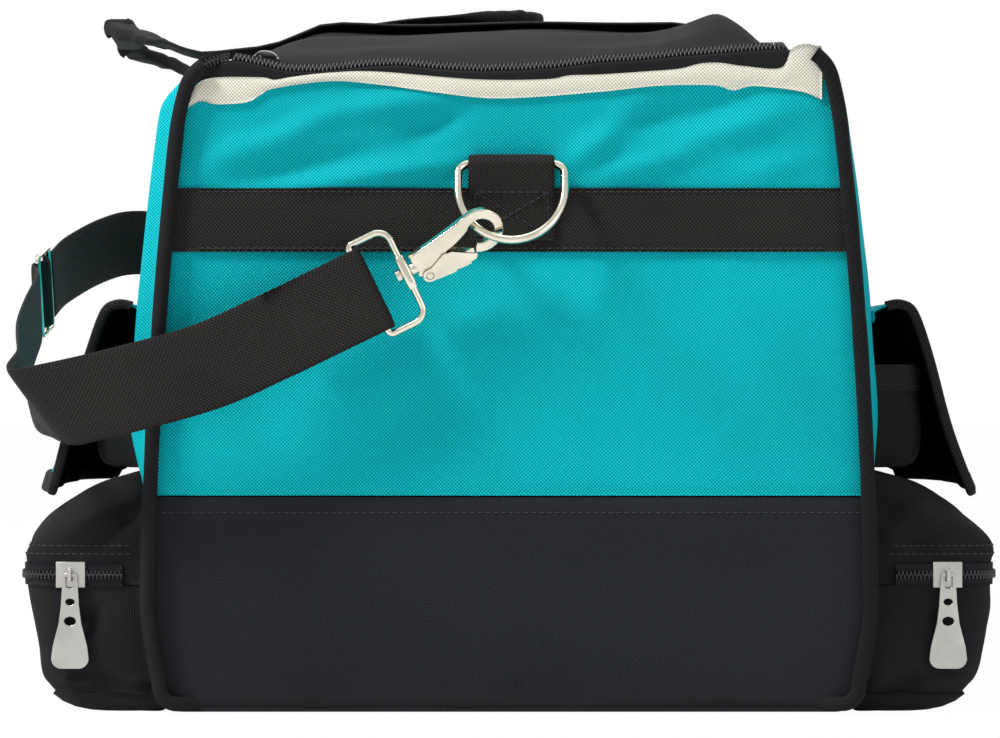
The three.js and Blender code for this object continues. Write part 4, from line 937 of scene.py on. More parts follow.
def trim_band(end, out):
    x = np.linspace(-0.1415, 0.1375, 220)[:, None]
    top = np.maximum(edge_line(TRIM_TOP, x), edge_line(TRIM_BOTTOM, x) + 0.0005)
    low = edge_line(TRIM_BOTTOM, x)
    share = np.linspace(0, 1, 9)[None, :]
    level = unlifted(x, low + (top - low) * share)
    soft = out + 0.0006 * np.sin(math.pi * share) + 0 * x
    points = end_panel(-1, soft, x, level)
    return points * (1, -end, 1)


TRIM_WIDTH = 0.012
for name, end in ENDS.items():
    surface = trim_band(end, 0.0014)
    trim = slab(f"trim_band_{name}", surface, 0.0011, off_white, "bag", "trim_fabric",
                out=(0, end, 0), places=(surface[..., 0], surface[..., 2]))
    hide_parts(f"trim_{name}")
    flat = (float(lengths(surface, 0)[-1, 4]), TRIM_WIDTH)
print("trim laid flat:", np.round(flat, 4))

# %% [markdown]
# The belt is ribbed webbing across the end panel, with a row of stitches along both its edges.

# %% Belt
BELT_LOW, BELT_HIGH = 0.2025, 0.2305
BELT_OUT = 0.0021


def belt(end, out):
    z = np.linspace(BELT_LOW, BELT_HIGH, 12)[None, :]
    reach = half_width(z, HALF_LENGTH) - 0.0052
    x = np.linspace(-1, 1, 160)[:, None] * reach
    round_edge = 0.0005 * np.clip(np.abs(z - (BELT_LOW + BELT_HIGH) / 2) / 0.014, 0, 1) ** 8
    return end_panel(end, out - round_edge, x, z)


for name, end in ENDS.items():
    surface = belt(end, BELT_OUT)
    strip = slab(f"belt_webbing_{name}", surface, 0.0018, webbing, "bag", "webbing",
                 out=(0, end, 0), places=(surface[..., 0], surface[..., 2]))
    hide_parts(f"belt_{name}")
    x = np.linspace(-0.137, 0.137, 200)
    runs = [(end_panel(end, BELT_OUT, x, z), (0, end, 0))
            for z in (BELT_LOW + 0.0016, BELT_HIGH - 0.0016)]
    stitches(f"belt_stitches_{name}", runs, thread_black, "bag")
print("belt points:", surface.shape[:2])

# %% [markdown]
# The tab is webbing folded over the D-ring's straight bar. Its front is sewn down over the belt
# with a crossed box of thread.

# %% Tab
BAR_Y = -0.2846
BAR_Z = 0.241
TAB_WIDTH = 0.038
TAB_X = 0.001
TAB_RADIUS = 0.0033
TAB_FRONT = np.array([(0.0034, 0.2075), (0.0036, 0.215), (0.0042, 0.224), (0.0062, 0.233)])


def tab_path():
    """Up from the belt in front of the bar, over it, and down behind it to the panel."""
    turn = np.linspace(-0.1, math.pi + 0.1, 18)
    over = np.stack([-(BAR_Y + HALF_LENGTH) + TAB_RADIUS * np.cos(turn),
                     BAR_Z + TAB_RADIUS * np.sin(turn)], 1)
    back = np.array([(0.0016, 0.2345), (0.0015, 0.2325)])
    return smooth(np.concatenate([TAB_FRONT, over, back]), 60)


for name, end in ENDS.items():
    line = tab_path()
    path = np.stack([np.full(len(line), TAB_X), end * (HALF_LENGTH + line[:, 0]), line[:, 1]], 1)
    tab = ribbon(f"ring_tab_{name}", path, (1.0, 0, 0), TAB_WIDTH, 0.0019, webbing, "bag",
                 "webbing")
    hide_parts(f"dring_tab_{name}")
    runs = []
    for line in crossed_box(TAB_WIDTH / 2 - 0.003, 0.2095, 0.2285):
        depth = np.interp(line[:, 1], TAB_FRONT[:, 1], TAB_FRONT[:, 0])
        thread = np.stack([TAB_X + line[:, 0], end * (HALF_LENGTH + depth + 0.001), line[:, 1]], 1)
        runs.append((thread, (0, end, 0)))
    stitches(f"tab_stitches_{name}", runs, thread_blue, "bag")
print("ends made")

# %% [markdown]
# ## Zip
#
# The zip runs round three sides of the rim. Its tape belongs to the body on one side of the
# coil and to the lid on the other. Each coil is a row of small bars, and the two rows mesh.

# %% Zip line
COIL_PITCH = 0.0018
ZIP_LEAN = math.radians(52)
ZIP_INSET, ZIP_STEPS = 0.0049, 900


def u_line(inset, count, radius=0.007, left=-0.122):
    """Round three sides of the rim, inset metres inside its edge, at even steps."""
    right, back = SHOULDER - inset, HALF_LENGTH - inset
    turn = np.linspace(0, math.pi / 2, 12)
    bend = np.stack([right - radius + radius * np.sin(turn), -back + radius * (1 - np.cos(turn))], 1)
    half = np.concatenate([[(left, -back)], bend, [(right, 0)]])
    line = np.concatenate([half, (half * (1, -1))[-2::-1]])
    run = run_along(line)
    xy = at_places(np.linspace(0, run[-1], count), run, line)
    ahead = unit(np.gradient(xy, axis=0))
    return xy, np.stack([ahead[:, 1], -ahead[:, 0]], 1)


print("length of the zip:", round(float(run_along(u_line(ZIP_INSET, ZIP_STEPS)[0])[-1]), 3))

# %% [markdown]
# Between the trim and the zip lies a black facing. It starts behind the trim on the wall, goes
# up over the rim and ends as the zip's tape.

# %% Rim facing
FACING_LOW, FACING_HIGH = 0.279, 0.2853
FACING_LEFT = -0.1355
FACING_STEPS = 520


def facing_foot(x, y):
    """The facing starts half way up the trim at the ends, and just below the rim at the sides."""
    middle = (edge_line(TRIM_TOP, x) + edge_line(TRIM_BOTTOM, x)) / 2
    at_end = smoothstep((np.abs(y) - (HALF_LENGTH - 0.004)) / 0.003)
    return FACING_LOW + (unlifted(x, middle) - FACING_LOW) * at_end


def facing():
    """Rows run along the zip; columns go up the wall and over the rim to the zip's coil.

    Each point of the rim's line is pushed out along X by the side wall's bulge and along Y by
    the end panel's folds, each times its share of the line's outward direction.
    """
    xy, out = u_line(0.0, FACING_STEPS, 0.004, FACING_LEFT)
    foot = facing_foot(xy[:, 0], xy[:, 1])[:, None]
    top = FACING_HIGH - 0.006 * smoothstep((-0.124 - xy[:, :1]) / 0.011)
    level = foot + (top - foot) * np.linspace(0, 1, 9)[None, :]
    seen = -np.sign(out[:, 1:]) * xy[:, :1]
    beside = half_width(level, 0.2) - SHOULDER + 0.0007
    before = panel_out(seen, level) + 0.0008
    flat = xy[:, None] + out[:, None] * np.stack([beside, before], -1)
    z = lifted(flat[..., 0], flat[..., 1], level)
    climb = np.concatenate([flat, z[..., None]], -1)
    line, square = u_line(ZIP_INSET, FACING_STEPS, left=FACING_LEFT)
    offset = np.array([4.2, 2.8, 1.3])[None, :, None] * MM
    drop = np.array([2.6, 2.2, 1.5])[None] * MM
    z = zip_height(line[:, 0], line[:, 1])[:, None] - drop
    over = np.concatenate([line[:, None] + square[:, None] * offset, z[..., None]], -1)
    return np.concatenate([climb, over], 1)


surface = facing()
rim_facing = slab("zip_facing", surface, 0.0006, charcoal, "bag", "charcoal_fabric",
                  out=surface - INSIDE)
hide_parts("body_zip")
print("facing:", surface.shape[:2])

# %% [markdown]
# A coil's bars have a flattened six-sided section, drawn in at both their ends. The closed zip
# is pulled over the rim, so its bars lean down outward.

# %% Coils
COIL_REACH = (-0.0006, 0.0021)


def coil(name, line, across, reach, body, shift=0.0):
    """A row of bars along a line: each goes from reach[0] to reach[1] along the vector across.

    A ring of a bar is centre + r (a cos t + b sin t), with a along the line and b square to it.
    """
    run = run_along(line)
    middle = np.arange(COIL_PITCH * (0.5 + shift), run[-1], COIL_PITCH)
    both = np.concatenate([line, across, np.gradient(line, run, axis=0)], 1)
    both = at_places(middle, run, both)
    at, across, ahead = both[:, :3], unit(both[:, 3:6]), unit(both[:, 6:])
    square = np.cross(ahead, across)
    share = reach[0] + (reach[1] - reach[0]) * np.array([0.0, 0.12, 0.8, 1.0])
    size = np.array([0.5, 1.0, 1.0, 0.6])[None, :, None, None]
    centre = at[:, None] + across[:, None] * share[None, :, None]
    angle = np.linspace(0, 2 * math.pi, 6, endpoint=False)[None, None, :, None]
    rings = centre[:, :, None] + size * (
        ahead[:, None, None] * np.cos(angle) * 0.00066
        + square[:, None, None] * np.sin(angle) * 0.0009
    )
    return many(name, rings, coil_plastic, body, "charcoal_fabric")


xy, out = u_line(ZIP_INSET, ZIP_STEPS)
zip_line = np.concatenate([xy, zip_height(xy[:, :1], xy[:, 1:])], 1)
down = np.full((ZIP_STEPS, 1), -math.sin(ZIP_LEAN))
downhill = np.concatenate([out * math.cos(ZIP_LEAN), down], 1)
body_coil = coil("zip_coil_body", zip_line, downhill, COIL_REACH, "bag")
lid_coil = coil("zip_coil_lid", zip_line, -downhill, COIL_REACH, "lid", 0.5)
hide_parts("body_zip")
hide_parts("lid_zip")
print("zip bars:", len(body_coil.data.polygons) // 20)

# %% [markdown]
# At the left the closed zip goes on past the lid's hinge and turns down in front of the wall.

# %% Zip tails
for name, end in ENDS.items():
    line = smooth(ZIP_LINE[:6], 60)[::-1]
    y = np.interp(line[:, 0], [-0.1386, -0.1362, -0.13, -0.12], [0.279, 0.2828, 0.2815, 0.2751])
    path = np.stack([line[:, 0], end * y, line[:, 1]], 1)
    path = path[path[:, 0] < -0.1224]
    ahead = np.gradient(path, axis=0)
    across = unit(np.stack([ahead[:, 2], 0 * ahead[:, 1], -ahead[:, 0]], 1))
    tucked = path[:, 0] < -0.1265
    ribbon(f"zip_tail_tape_{name}", path[tucked] + (0, -0.0012 * end, 0), across[tucked], 0.0078,
           0.0009, charcoal, "bag", "charcoal_fabric")
    coil(f"zip_tail_outer_{name}", path, across, COIL_REACH, "bag")
    coil(f"zip_tail_inner_{name}", path, -across, COIL_REACH, "bag", 0.5)
print("zip made")

# %% [markdown]
# ## Lid
#
# The lid is one soft panel of black twill. From its flat edge it rises like a cushion and then
# lies nearly level, with long shallow folds and two humps at its near right corner.

# %% Lid surface
LID_LEFT, LID_RIGHT = -0.1224, 0.1213
LID_BACK = 0.2741
LID_CORNER = 0.008
LID_RISE = 0.024
LID_RUN_X, LID_RUN_Y = 0.06, 0.2
LID_RIM = 0.0045
HUMPS = [
    (0.099, -0.222, 0.02, 0.03, 0.009), (0.113, -0.243, 0.01, 0.02, 0.006),
    (0.085, 0.225, 0.025, 0.03, 0.005),
]


def lid_top(x, y):
    """Height of the lid: edge height + rise (1 - (1 - s)^3).

    s goes from 0 at the edge to 1 over a short run from the sides or a long one from the ends,
    whichever is less. Folds and a few humps, each a bell curve, are added inside the edge.
    """
    middle, half = (LID_LEFT + LID_RIGHT) / 2, (LID_RIGHT - LID_LEFT) / 2
    dx, dy = half - np.abs(x - middle), LID_BACK - np.abs(y)
    sx, sy = (dx - LID_RIM) / LID_RUN_X, (dy - LID_RIM) / LID_RUN_Y
    near = np.clip(0.5 + 0.5 * (sy - sx) / 0.15, 0, 1)
    share = np.clip(sy * (1 - near) + sx * near - 0.15 * near * (1 - near), 0, 1)
    rise = LID_RISE * (1 - (1 - share) ** 3)
    d = np.minimum(dx, dy)
    inward = 1 - smoothstep((d - 0.004) / 0.09)
    at_end = smoothstep((np.abs(y) - 0.15) / 0.12)
    edge = ZIP_LEVEL + rim_lift(x, np.sign(y) * HALF_LENGTH) * at_end * inward
    folds = 0.0016 * waves(x, y, 41, 0.15) + 0.0009 * waves(x * 0.5, y, 43, 0.05)
    for cx, cy, rx, ry, height in HUMPS:
        folds = folds + height * np.exp(-(((x - cx) / rx) ** 2) - ((y - cy) / ry) ** 2)
    return edge + 0.0006 + rise + smoothstep((d - 0.004) / 0.025) * folds


def lid_surface():
    b = np.linspace(-1, 1, 190)[:, None]
    b = b * 0.8 + 0.2 * np.sin(b * math.pi / 2)
    a = np.linspace(-1, 1, 110)[None, :]
    a = a * 0.75 + 0.25 * np.sin(a * math.pi / 2)
    y = b * LID_BACK
    over = np.clip(np.abs(y) - (LID_BACK - LID_CORNER), 0, LID_CORNER)
    drawn = LID_CORNER - np.sqrt(LID_CORNER**2 - over**2)
    left, right = LID_LEFT, LID_RIGHT - drawn
    x = left + (right - left) * (a + 1) / 2
    y = np.broadcast_to(y, x.shape)
    return np.stack([x, y, lid_top(x, y)], -1)


surface = lid_surface()
lid = slab("lid_cloth", surface, 0.0022, charcoal, "lid", "charcoal_fabric", out=(0, 0, 1))
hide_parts("lid_panel", "lid_zip")
flat = (float(lengths(surface, 1)[95, -1]), float(lengths(surface, 0)[-1, 55]))
print("lid laid flat:", np.round(flat, 4))

# %% [markdown]
# A welt of the same cloth runs along the lid's side of the zip. A soft strip of cloth joins the
# lid's left edge to the wall: that is the hinge.

# %% Welt and hinge
HINGE_X = [-0.1365, -0.131, -0.127, -0.123, -0.1185]
HINGE_Z = np.array([281.5, 285.6, 287.2, 287.4, 289.6]) * MM
xy, out = u_line(0.0105, 420)
z = lid_top(xy[:, 0], xy[:, 1]) + 0.0006
tube("lid_welt", np.concatenate([xy, z[:, None]], 1), 0.0013, charcoal, "lid",
     "charcoal_fabric", sides=8)
y = np.linspace(-0.272, 0.272, 120)[:, None]
s = np.linspace(0, 1, 12)[None, :]
x = HINGE_X[0] + (HINGE_X[-1] - HINGE_X[0]) * s + 0 * y
z = np.interp(x, HINGE_X, HINGE_Z)
hinge = slab("lid_hinge_cloth", np.stack([x, y + 0 * s, z], -1), 0.0009, charcoal, None,
             "charcoal_fabric", out=(0, 0, 1))
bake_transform(hinge)
print("hinge made")

# %% [markdown]
# Two dark domed rivets sit on the lid's slope beside the hinge. A dome is turned from a profile.

# %% Rivets
def turned(name, profile, centre, axis, material, body, slot):
    """A profile of (radius, height) turned round an axis through a centre, closed at its ends."""
    axis = np.asarray(axis, float) / np.linalg.norm(axis)
    first = np.cross(axis, (0, 1.0, 0.2))
    first /= np.linalg.norm(first)
    second = np.cross(axis, first)
    angle = np.linspace(0, 2 * math.pi, 32, endpoint=False)[None, :, None]
    profile = np.asarray(profile, float)
    radius, height = profile[:, 0, None, None], profile[:, 1, None, None]
    rings = centre + height * axis + radius * (first * np.cos(angle) + second * np.sin(angle))
    return put(name, *swept(rings), material, body, slot)


dome = np.linspace(0, math.pi / 2, 8)
rivet_profile = [(0.0042, -0.001), (0.0056, -0.001), (0.0058, 0.0002), (0.0052, 0.0006)]
rivet_profile += [(0.005 * math.cos(a) + 1e-5, 0.0006 + 0.0024 * math.sin(a)) for a in dome]
for name, end in ENDS.items():
    low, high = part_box(f"lid_rivet_{name}")
    x, y = (low[0] + high[0]) / 2, (low[1] + high[1]) / 2
    step = 0.002
    slope = np.array([
        lid_top(x - step, y) - lid_top(x + step, y), lid_top(x, y - step) - lid_top(x, y + step),
        2 * step,
    ]).ravel()
    centre = np.array([x, y, float(lid_top(np.array(x), np.array(y)))])
    rivet = turned(f"rivet_{name}", rivet_profile, centre, slope, bronze, "lid", "dark_rivet")
    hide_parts(f"lid_rivet_{name}")
print("lid made")

# %% [markdown]
# ## Handles
#
# The handles' legs are sewn to the side walls with crossed boxes of thread. Their lines are
# pairs of x and height in millimetres.

# %% Handle legs
WEB = 0.038
WEB_THICKNESS = 0.0022
LEG_LOW, LEG_BEND = 0.179, 0.252
SHOULDERS = {
    "left": [(158, 264), (162.5, 272), (160, 281), (150.5, 287), (138, 288.4), (126.5, 288.2)],
    "right": [(151, 262), (151, 270), (148.5, 278), (144.2, 284.3)],
}
LEG_Y = {"left": 0.110, "right": 0.150}
for side_name, side in SIDES.items():
    for end_name, end in ENDS.items():
        y = end * LEG_Y[side_name]
        z = np.linspace(LEG_LOW, LEG_BEND, 8)
        on_wall = wall(side, 0.0013, y, z)[:, [0, 2]] * (side, 1)
        xz = smooth(np.concatenate([on_wall, np.array(SHOULDERS[side_name]) * MM]), 60)
        path = np.stack([side * xz[:, 0], np.full(len(xz), y), xz[:, 1]], 1)
        leg = ribbon(f"{side_name}_leg_{end_name}", path, (0, 1.0, 0), WEB, WEB_THICKNESS,
                     webbing, "bag", "webbing")
        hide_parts(f"{side_name}_handle_leg_{end_name}")
        runs = [(wall(side, 0.0023, y + line[:, 0], line[:, 1]), (side, 0, 0))
                for line in crossed_box(WEB / 2 - 0.003, LEG_LOW + 0.003, LEG_LOW + 0.035)]
        stitches(f"{side_name}_leg_stitches_{end_name}", runs, thread_black, "bag")
print("legs made")

# %% [markdown]
# A loop's first half goes from the leg over the lid, turns a corner, and meets its mirror image
# in the middle of the crossbar. The webbing lies on the lid where it can, z = max(z, lid), and
# from the corner on it is folded into a narrow grip. The right loop reaches past the lid and
# hangs askew: its far corner lies further out and higher.

# %% Handle loops
TURN = 0.026
GRIP_WIDTH, GRIP_THICKNESS = 0.014, 0.0064
LOOPS = {
    "left": dict(line=[(-121.5, 287.8), (-117.5, 290.5), (-111, 297), (-104, 303.6), (-92, 309.5),
                       (-74, 315), (-48, 319), (-22, 321)],
                 x=-16, z=321.5, lift=1.5, heading=1),
    "right": dict(line=[(141.2, 287.6), (138, 291), (132, 294), (120, 295.4), (108, 299),
                        (92, 300), (-80, 300), (-105, 304.5), (-122, 301.5), (-144, 301.5),
                        (-160, 306.5)],
                  x=-172, z=312, lift=11, heading=-1),
}
SKEW = np.array((-0.012, 0, 0.008))


def loop_stations(line, leg_y, x, z, lift, heading):
    """Points and across vectors of one half of a loop, from the leg to the crossbar's middle."""
    points = [(px * MM, -leg_y, pz * MM) for px, pz in line]
    turns = [0.0] * len(points)
    for share in np.linspace(0, 1, 7):
        angle = math.pi / 2 * share
        points.append((x * MM + heading * TURN * math.sin(angle),
                       -leg_y + TURN * (1 - math.cos(angle)), (z + lift * share) * MM))
        turns.append(angle)
    points.append((x * MM + heading * TURN, -leg_y / 2, (z + lift) * MM))
    turns = np.array(turns + [math.pi / 2])
    return np.array(points), np.stack([-heading * np.sin(turns), np.cos(turns), 0 * turns], 1)


for name, spec in LOOPS.items():
    points, across = loop_stations(leg_y=LEG_Y[name], **spec)
    points = np.concatenate([points, [points[-1] * (1, 0, 1)], points[::-1] * (1, -1, 1)])
    across = np.concatenate([across, [across[-1]], across[::-1] * (1, -1, 1)])
    fine = smooth(np.concatenate([points, across], 1), 400)
    path, side = fine[:, :3], fine[:, 3:]
    run = np.linspace(0, 1, len(path))
    calm = smoothstep(np.minimum(run, 1 - run) / 0.12)[:, None]
    path = path + calm * np.stack([0.0012 * waves(run, run, 51, 0.2), 0 * run,
                                   0.0008 * np.abs(waves(run, run, 52, 0.15))], 1)
    if name == "right":
        past = smoothstep((-0.125 - path[:, :1]) / 0.06)
        path = path + past * path[:, 1:2] / LEG_Y[name] * SKEW
    inside = smoothstep((0.121 - np.abs(path[:, 0])) / 0.01)
    on_lid = lid_top(path[:, 0], path[:, 1]) + WEB_THICKNESS
    path[:, 2] += inside * np.maximum(on_lid - path[:, 2], 0)
    ahead_x = spec["heading"] * (path[:, 0] - spec["x"] * MM)
    grip = smoothstep((ahead_x + 0.014) / 0.022)
    loop = ribbon(f"{name}_loop", path, side, WEB + (GRIP_WIDTH - WEB) * grip,
                  WEB_THICKNESS + (GRIP_THICKNESS - WEB_THICKNESS) * grip, webbing,
                  f"{name}_handle", "webbing")
    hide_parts(f"{name}_handle")
    if name == "right":
        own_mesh(loop)
print("handles made")

# %% [markdown]
# ## Upper pockets and flaps
#
# An upper pocket is a shallow pouch. Its mouth is hemmed with ribbed tape, and its flap hangs
# over it from a rolled seam: teal outside, black inside, bound with tape along its edges.

# %% Upper pockets
POCKET_NEAR, POCKET_FAR = 0.010, 0.254
POCKET_MIDDLE = (POCKET_NEAR + POCKET_FAR) / 2
POCKET_HALF = (POCKET_FAR - POCKET_NEAR) / 2
POUCH_LINE = np.array([
    (27.6, 153), (27.2, 147), (26.8, 141), (26.4, 130), (25.6, 119), (23.5, 111.5), (19, 107.6),
    (10, 107), (0.6, 107),
]) * MM


def pouch(side, y0, line, half, out=0.0):
    """Rows run along the wall, columns down the pouch; the distance dies out at both ends.

    u = U(s) (1 - |t|^9)^(1/6) for t from -1 to 1 along the pouch.
    """
    fine = smooth(line, 40)
    t = np.sin(np.linspace(-1, 1, 90) * math.pi / 2)[:, None]
    shape = np.clip(1 - np.abs(t) ** 9, 0, 1) ** (1 / 6)
    u = 0.0006 + (fine[None, :, 0] + out) * shape
    y = y0 + t * (half + out)
    z = fine[None, :, 1] + 0 * t
    dents = 0.0012 * waves(y, z, 61 + side, 0.07) * shape * smoothstep((0.15 - z) / 0.02)
    return wall(side, u + dents, y, z)


for side_name, side in SIDES.items():
    for end_name, end in ENDS.items():
        y0 = end * POCKET_MIDDLE
        surface = pouch(side, y0, POUCH_LINE, POCKET_HALF)
        made = slab(f"{side_name}_pouch_{end_name}", surface, 0.0016, charcoal, "bag",
                    "charcoal_fabric", out=(side, 0, -0.2))
        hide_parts(f"{side_name}_upper_pocket_{end_name}")
        surface = pouch(side, y0, POUCH_LINE[:3], POCKET_HALF, 0.0011)
        slab(f"{side_name}_pouch_hem_{end_name}", surface, 0.001, webbing, "bag", "webbing",
             out=(side, 0, 0))
        runs = [(surface[5:-5, column], (side, 0, 0)) for column in (7, 31)]
        stitches(f"{side_name}_pouch_stitches_{end_name}", runs, thread_black, "bag")
print("upper pockets made")

# %% [markdown]
# A flap falls from its root in a soft bend and ripples more the nearer it comes to its free
# edge. Its two side edges curl in towards the bag, so the teal cloth shows beyond the binding.

# %% Flaps
FLAP_LINE = np.array([
    (3.7, 174.6), (7, 177), (11, 178.7), (16, 180), (20, 179.4), (24, 176), (30, 160),
    (36, 143.4), (44, 120), (51.5, 98),
]) * MM
FLAP_HALF = POCKET_HALF + 0.004
FLAP_RIPPLE, FLAP_CURL = 0.004, 0.009
ROOT_LEVEL = 0.174


def flap_surface(side, y0, offset=0.0):
    """Rows run along the flap, columns from its root to its free edge.

    u = line + offset + ripple - curl, where both grow from 0 at the bend to the free edge.
    """
    fine = smooth(FLAP_LINE, 44)
    ahead = unit(np.gradient(fine, axis=0))
    fine = fine + offset * np.stack([-ahead[:, 1], ahead[:, 0]], 1)
    y = y0 + np.linspace(-1, 1, 100)[:, None] * FLAP_HALF
    share = np.linspace(0, 1, len(fine))[None, :]
    loose = smoothstep((share - 0.15) / 0.85)
    ripple = FLAP_RIPPLE * loose * waves(y + 0 * share, share * 0.1, 71 + side, 0.1)
    curl = FLAP_CURL * loose * smoothstep((np.abs(y - y0) / FLAP_HALF - 0.55) / 0.45)
    u = fine[None, :, 0] + ripple - curl
    z = fine[None, :, 1] + 0 * y
    x = side * (half_width(z, y) + u)
    return np.stack([x, y + 0 * z, z], -1)


for side_name, side in SIDES.items():
    for end_name, end in ENDS.items():
        y0 = end * POCKET_MIDDLE
        body = f"{side_name}_flap_{end_name}"
        outer = flap_surface(side, y0, 0.0007)
        made = slab(f"{side_name}_flap_cloth_{end_name}", outer, 0.0012, teal, body,
                    "teal_fabric", out=(side, 0, 1))
        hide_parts(body)
        flat = (2 * FLAP_HALF, float(lengths(outer, 1)[50, -1]))
        inner = flap_surface(side, y0, -0.0002)
        slab(f"{side_name}_flap_lining_{end_name}", inner, 0.0009, lining, body,
             "charcoal_fabric", out=(side, 0, 1))
        edge = flap_surface(side, y0)
        border = np.concatenate([edge[0, 4:], edge[1:-1, -1], edge[-1, :3:-1]])
        fine = smooth(border, 420)
        tilt = np.concatenate([edge[0, 4:] - edge[1, 4:], edge[1:-1, -1] - edge[1:-1, -2],
                               edge[-1, :3:-1] - edge[-2, :3:-1]])
        across = smooth(unit(tilt), 420)
        ribbon(f"{side_name}_flap_binding_{end_name}", fine - across * 0.003, across, 0.0095,
               0.0044, webbing, body, "webbing", sides=12)
        y = y0 + np.linspace(-1, 1, 60) * FLAP_HALF
        seam = np.stack([side * (half_width(ROOT_LEVEL, y) + 0.0037), y, np.full(60, ROOT_LEVEL)], 1)
        tube(f"{side_name}_flap_seam_{end_name}", seam, 0.003, teal, body, "teal_fabric")
print("flap laid flat:", np.round(flat, 4))

# %% [markdown]
# ## Lower pockets
#
# A lower pocket is a deep pouch with rounded upright corners and a sloping roof. A zip runs
# round it, and below the zip its long front swings out.

# %% Lower pocket form
LOWER_END = 0.268
LOWER_DEPTH = 0.054
LOWER_ROUND = 0.014
POCKET_CLOTH = 0.0018
CAP_SHARE, CAP_SWELL = 0.741, 0.0022
FRONT_HALF = LOWER_END - LOWER_ROUND
FOOT = [(0.6, 12.5), (5, 5), (12.3, 1.6), (25, 1.5), (38, 1.5), (43.5, 3.6), (46.5, 7.6)]
END_WALL = [(46.6, 7.7), (48, 10.5), (50.5, 15), (52.4, 28), (53.4, 40), (54, 55.1)]
FRONT = [(47, 9), (50.5, 15), (52.4, 28), (53.4, 40), (54, 55.1)]
ROOF = [(54, 55.4), (54.2, 65.4), (55, 69), (52, 76.5), (45, 85), (34, 93.5), (21, 100.5),
        (9, 104), (0.6, 105)]
PULL_LOW, PULL_TOP, PULL_ROOM = 0.016, 0.056, 0.0008
END_FOLDS = [
    ((14, 83), (0, 90), 4, -2.6), ((30, 71), (12, 81), 5, -3.2), ((40, 76), (10, 98), 7, 3),
    ((4, 40), (26, 20), 6, 4), ((30, 22), (10, 5), 5, -4), ((12, 30), (2, 12), 5, 3.4),
    ((46, 46), (34, 18), 7, 3), ((22, 46), (38, 34), 5, -3),
]
POCKET_FOLDS = [(np.array(start) * MM, np.array(end) * MM, width * MM, FOLD_DEPTH * height * MM)
                for start, end, width, height in END_FOLDS]


def pocket_ends():
    """Rows along the pocket from one end's wall to the other's: place along Y and depth share.

    The end is a nearly flat face, then comes a quarter circle, then the straight front.
    """
    cap = np.linspace(0.0, CAP_SHARE, 14)
    cap_y = LOWER_END + CAP_SWELL * (1 - (cap / CAP_SHARE) ** 2)
    turn = np.linspace(0, math.pi / 2, 10)[1:]
    round_share = 1 - LOWER_ROUND / LOWER_DEPTH * (1 - np.sin(turn))
    round_y = FRONT_HALF + LOWER_ROUND * np.cos(turn)
    straight = np.linspace(FRONT_HALF, -FRONT_HALF, 90)[1:-1]
    y = np.concatenate([cap_y, round_y, straight, -round_y[::-1], -cap_y[::-1]])
    share = np.concatenate([cap, round_share, np.ones(len(straight)), round_share[::-1], cap[::-1]])
    return y, share


def pocket_grid(side, line, steps, rows=slice(None)):
    """The pocket's outer surface over part of its outline; it swells and folds a little.

    Where the pull hangs, the folds only go inward.
    """
    fine = smooth(np.array(line) * MM, steps)
    y, share = (each[rows, None] for each in pocket_ends())
    z = fine[None, :, 1] + 0 * y
    u = 0.0005 + fine[None, :, 0] * share
    calm = smoothstep((np.abs(z - 0.06) - 0.0045) / 0.014)
    calm = calm * smoothstep(z / 0.02) * smoothstep((0.1045 - z) / 0.02)
    swell = 0.0026 * waves(y, z, 80 + side, 0.05) + 0.0014 * waves(y, z, 84, 0.025)
    front = smoothstep((share - 0.6) / 0.4)
    x = side * (half_width(z, y) + u + calm * share * swell * front)
    end_face = (1 - smoothstep((share - 0.72) / 0.28)) * smoothstep(share / 0.15) * calm
    folds = ridges(u, z, POCKET_FOLDS) + 0.0024 * waves(u, z, 87 + side, 0.03) + 0.002
    free = smoothstep((z - PULL_TOP) / 0.006) + smoothstep((PULL_LOW - z) / 0.006)
    folds = np.minimum(folds, PULL_ROOM + 0.008 * free)
    return np.stack([x, y + np.sign(y) * end_face * folds, z], -1)


y, share = pocket_ends()
front_rows = np.flatnonzero((np.abs(y) <= FRONT_HALF + 1e-6) & (share > 0.99))
first, last = front_rows[0], front_rows[-1]
for side_name, side in SIDES.items():
    out = (side, 0, 0.0)
    grids = [
        (pocket_grid(side, ROOF, 44), out),
        (pocket_grid(side, FOOT, 16), out),
        (pocket_grid(side, END_WALL, 30, slice(0, first + 1)), (side, 1, 0)),
        (pocket_grid(side, END_WALL, 30, slice(last, None)), (side, -1, 0)),
    ]
    parts = [slab_parts(surface, POCKET_CLOTH, out=way) for surface, way in grids]
    shell = join(f"{side_name}_pocket_walls", parts, charcoal, "bag", "charcoal_fabric")
    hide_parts(f"{side_name}_pocket_shell")
    inset = slice(first, last + 1)
    surface = pocket_grid(side, FRONT, 36, inset)
    surface[0, :, 1] -= 0.0004
    surface[-1, :, 1] += 0.0004
    front = slab(f"{side_name}_pocket_flap", surface, POCKET_CLOTH, charcoal,
                 f"{side_name}_pocket_front", "charcoal_fabric", out=out)
    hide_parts(f"{side_name}_pocket_front")
    rows = [pocket_grid(side, ROOF, 44)[2:-2, column] + (0, 0, 0.0003) for column in (7, 9)]
    stitches(f"{side_name}_pocket_stitches", [(row, (side, 0, 0.3)) for row in rows], thread_black,
             "bag")
print("rows round a lower pocket:", len(y), "of them in front:", len(front_rows))

# %% [markdown]
# The pocket's zip is an upright band with its two coils in the middle.

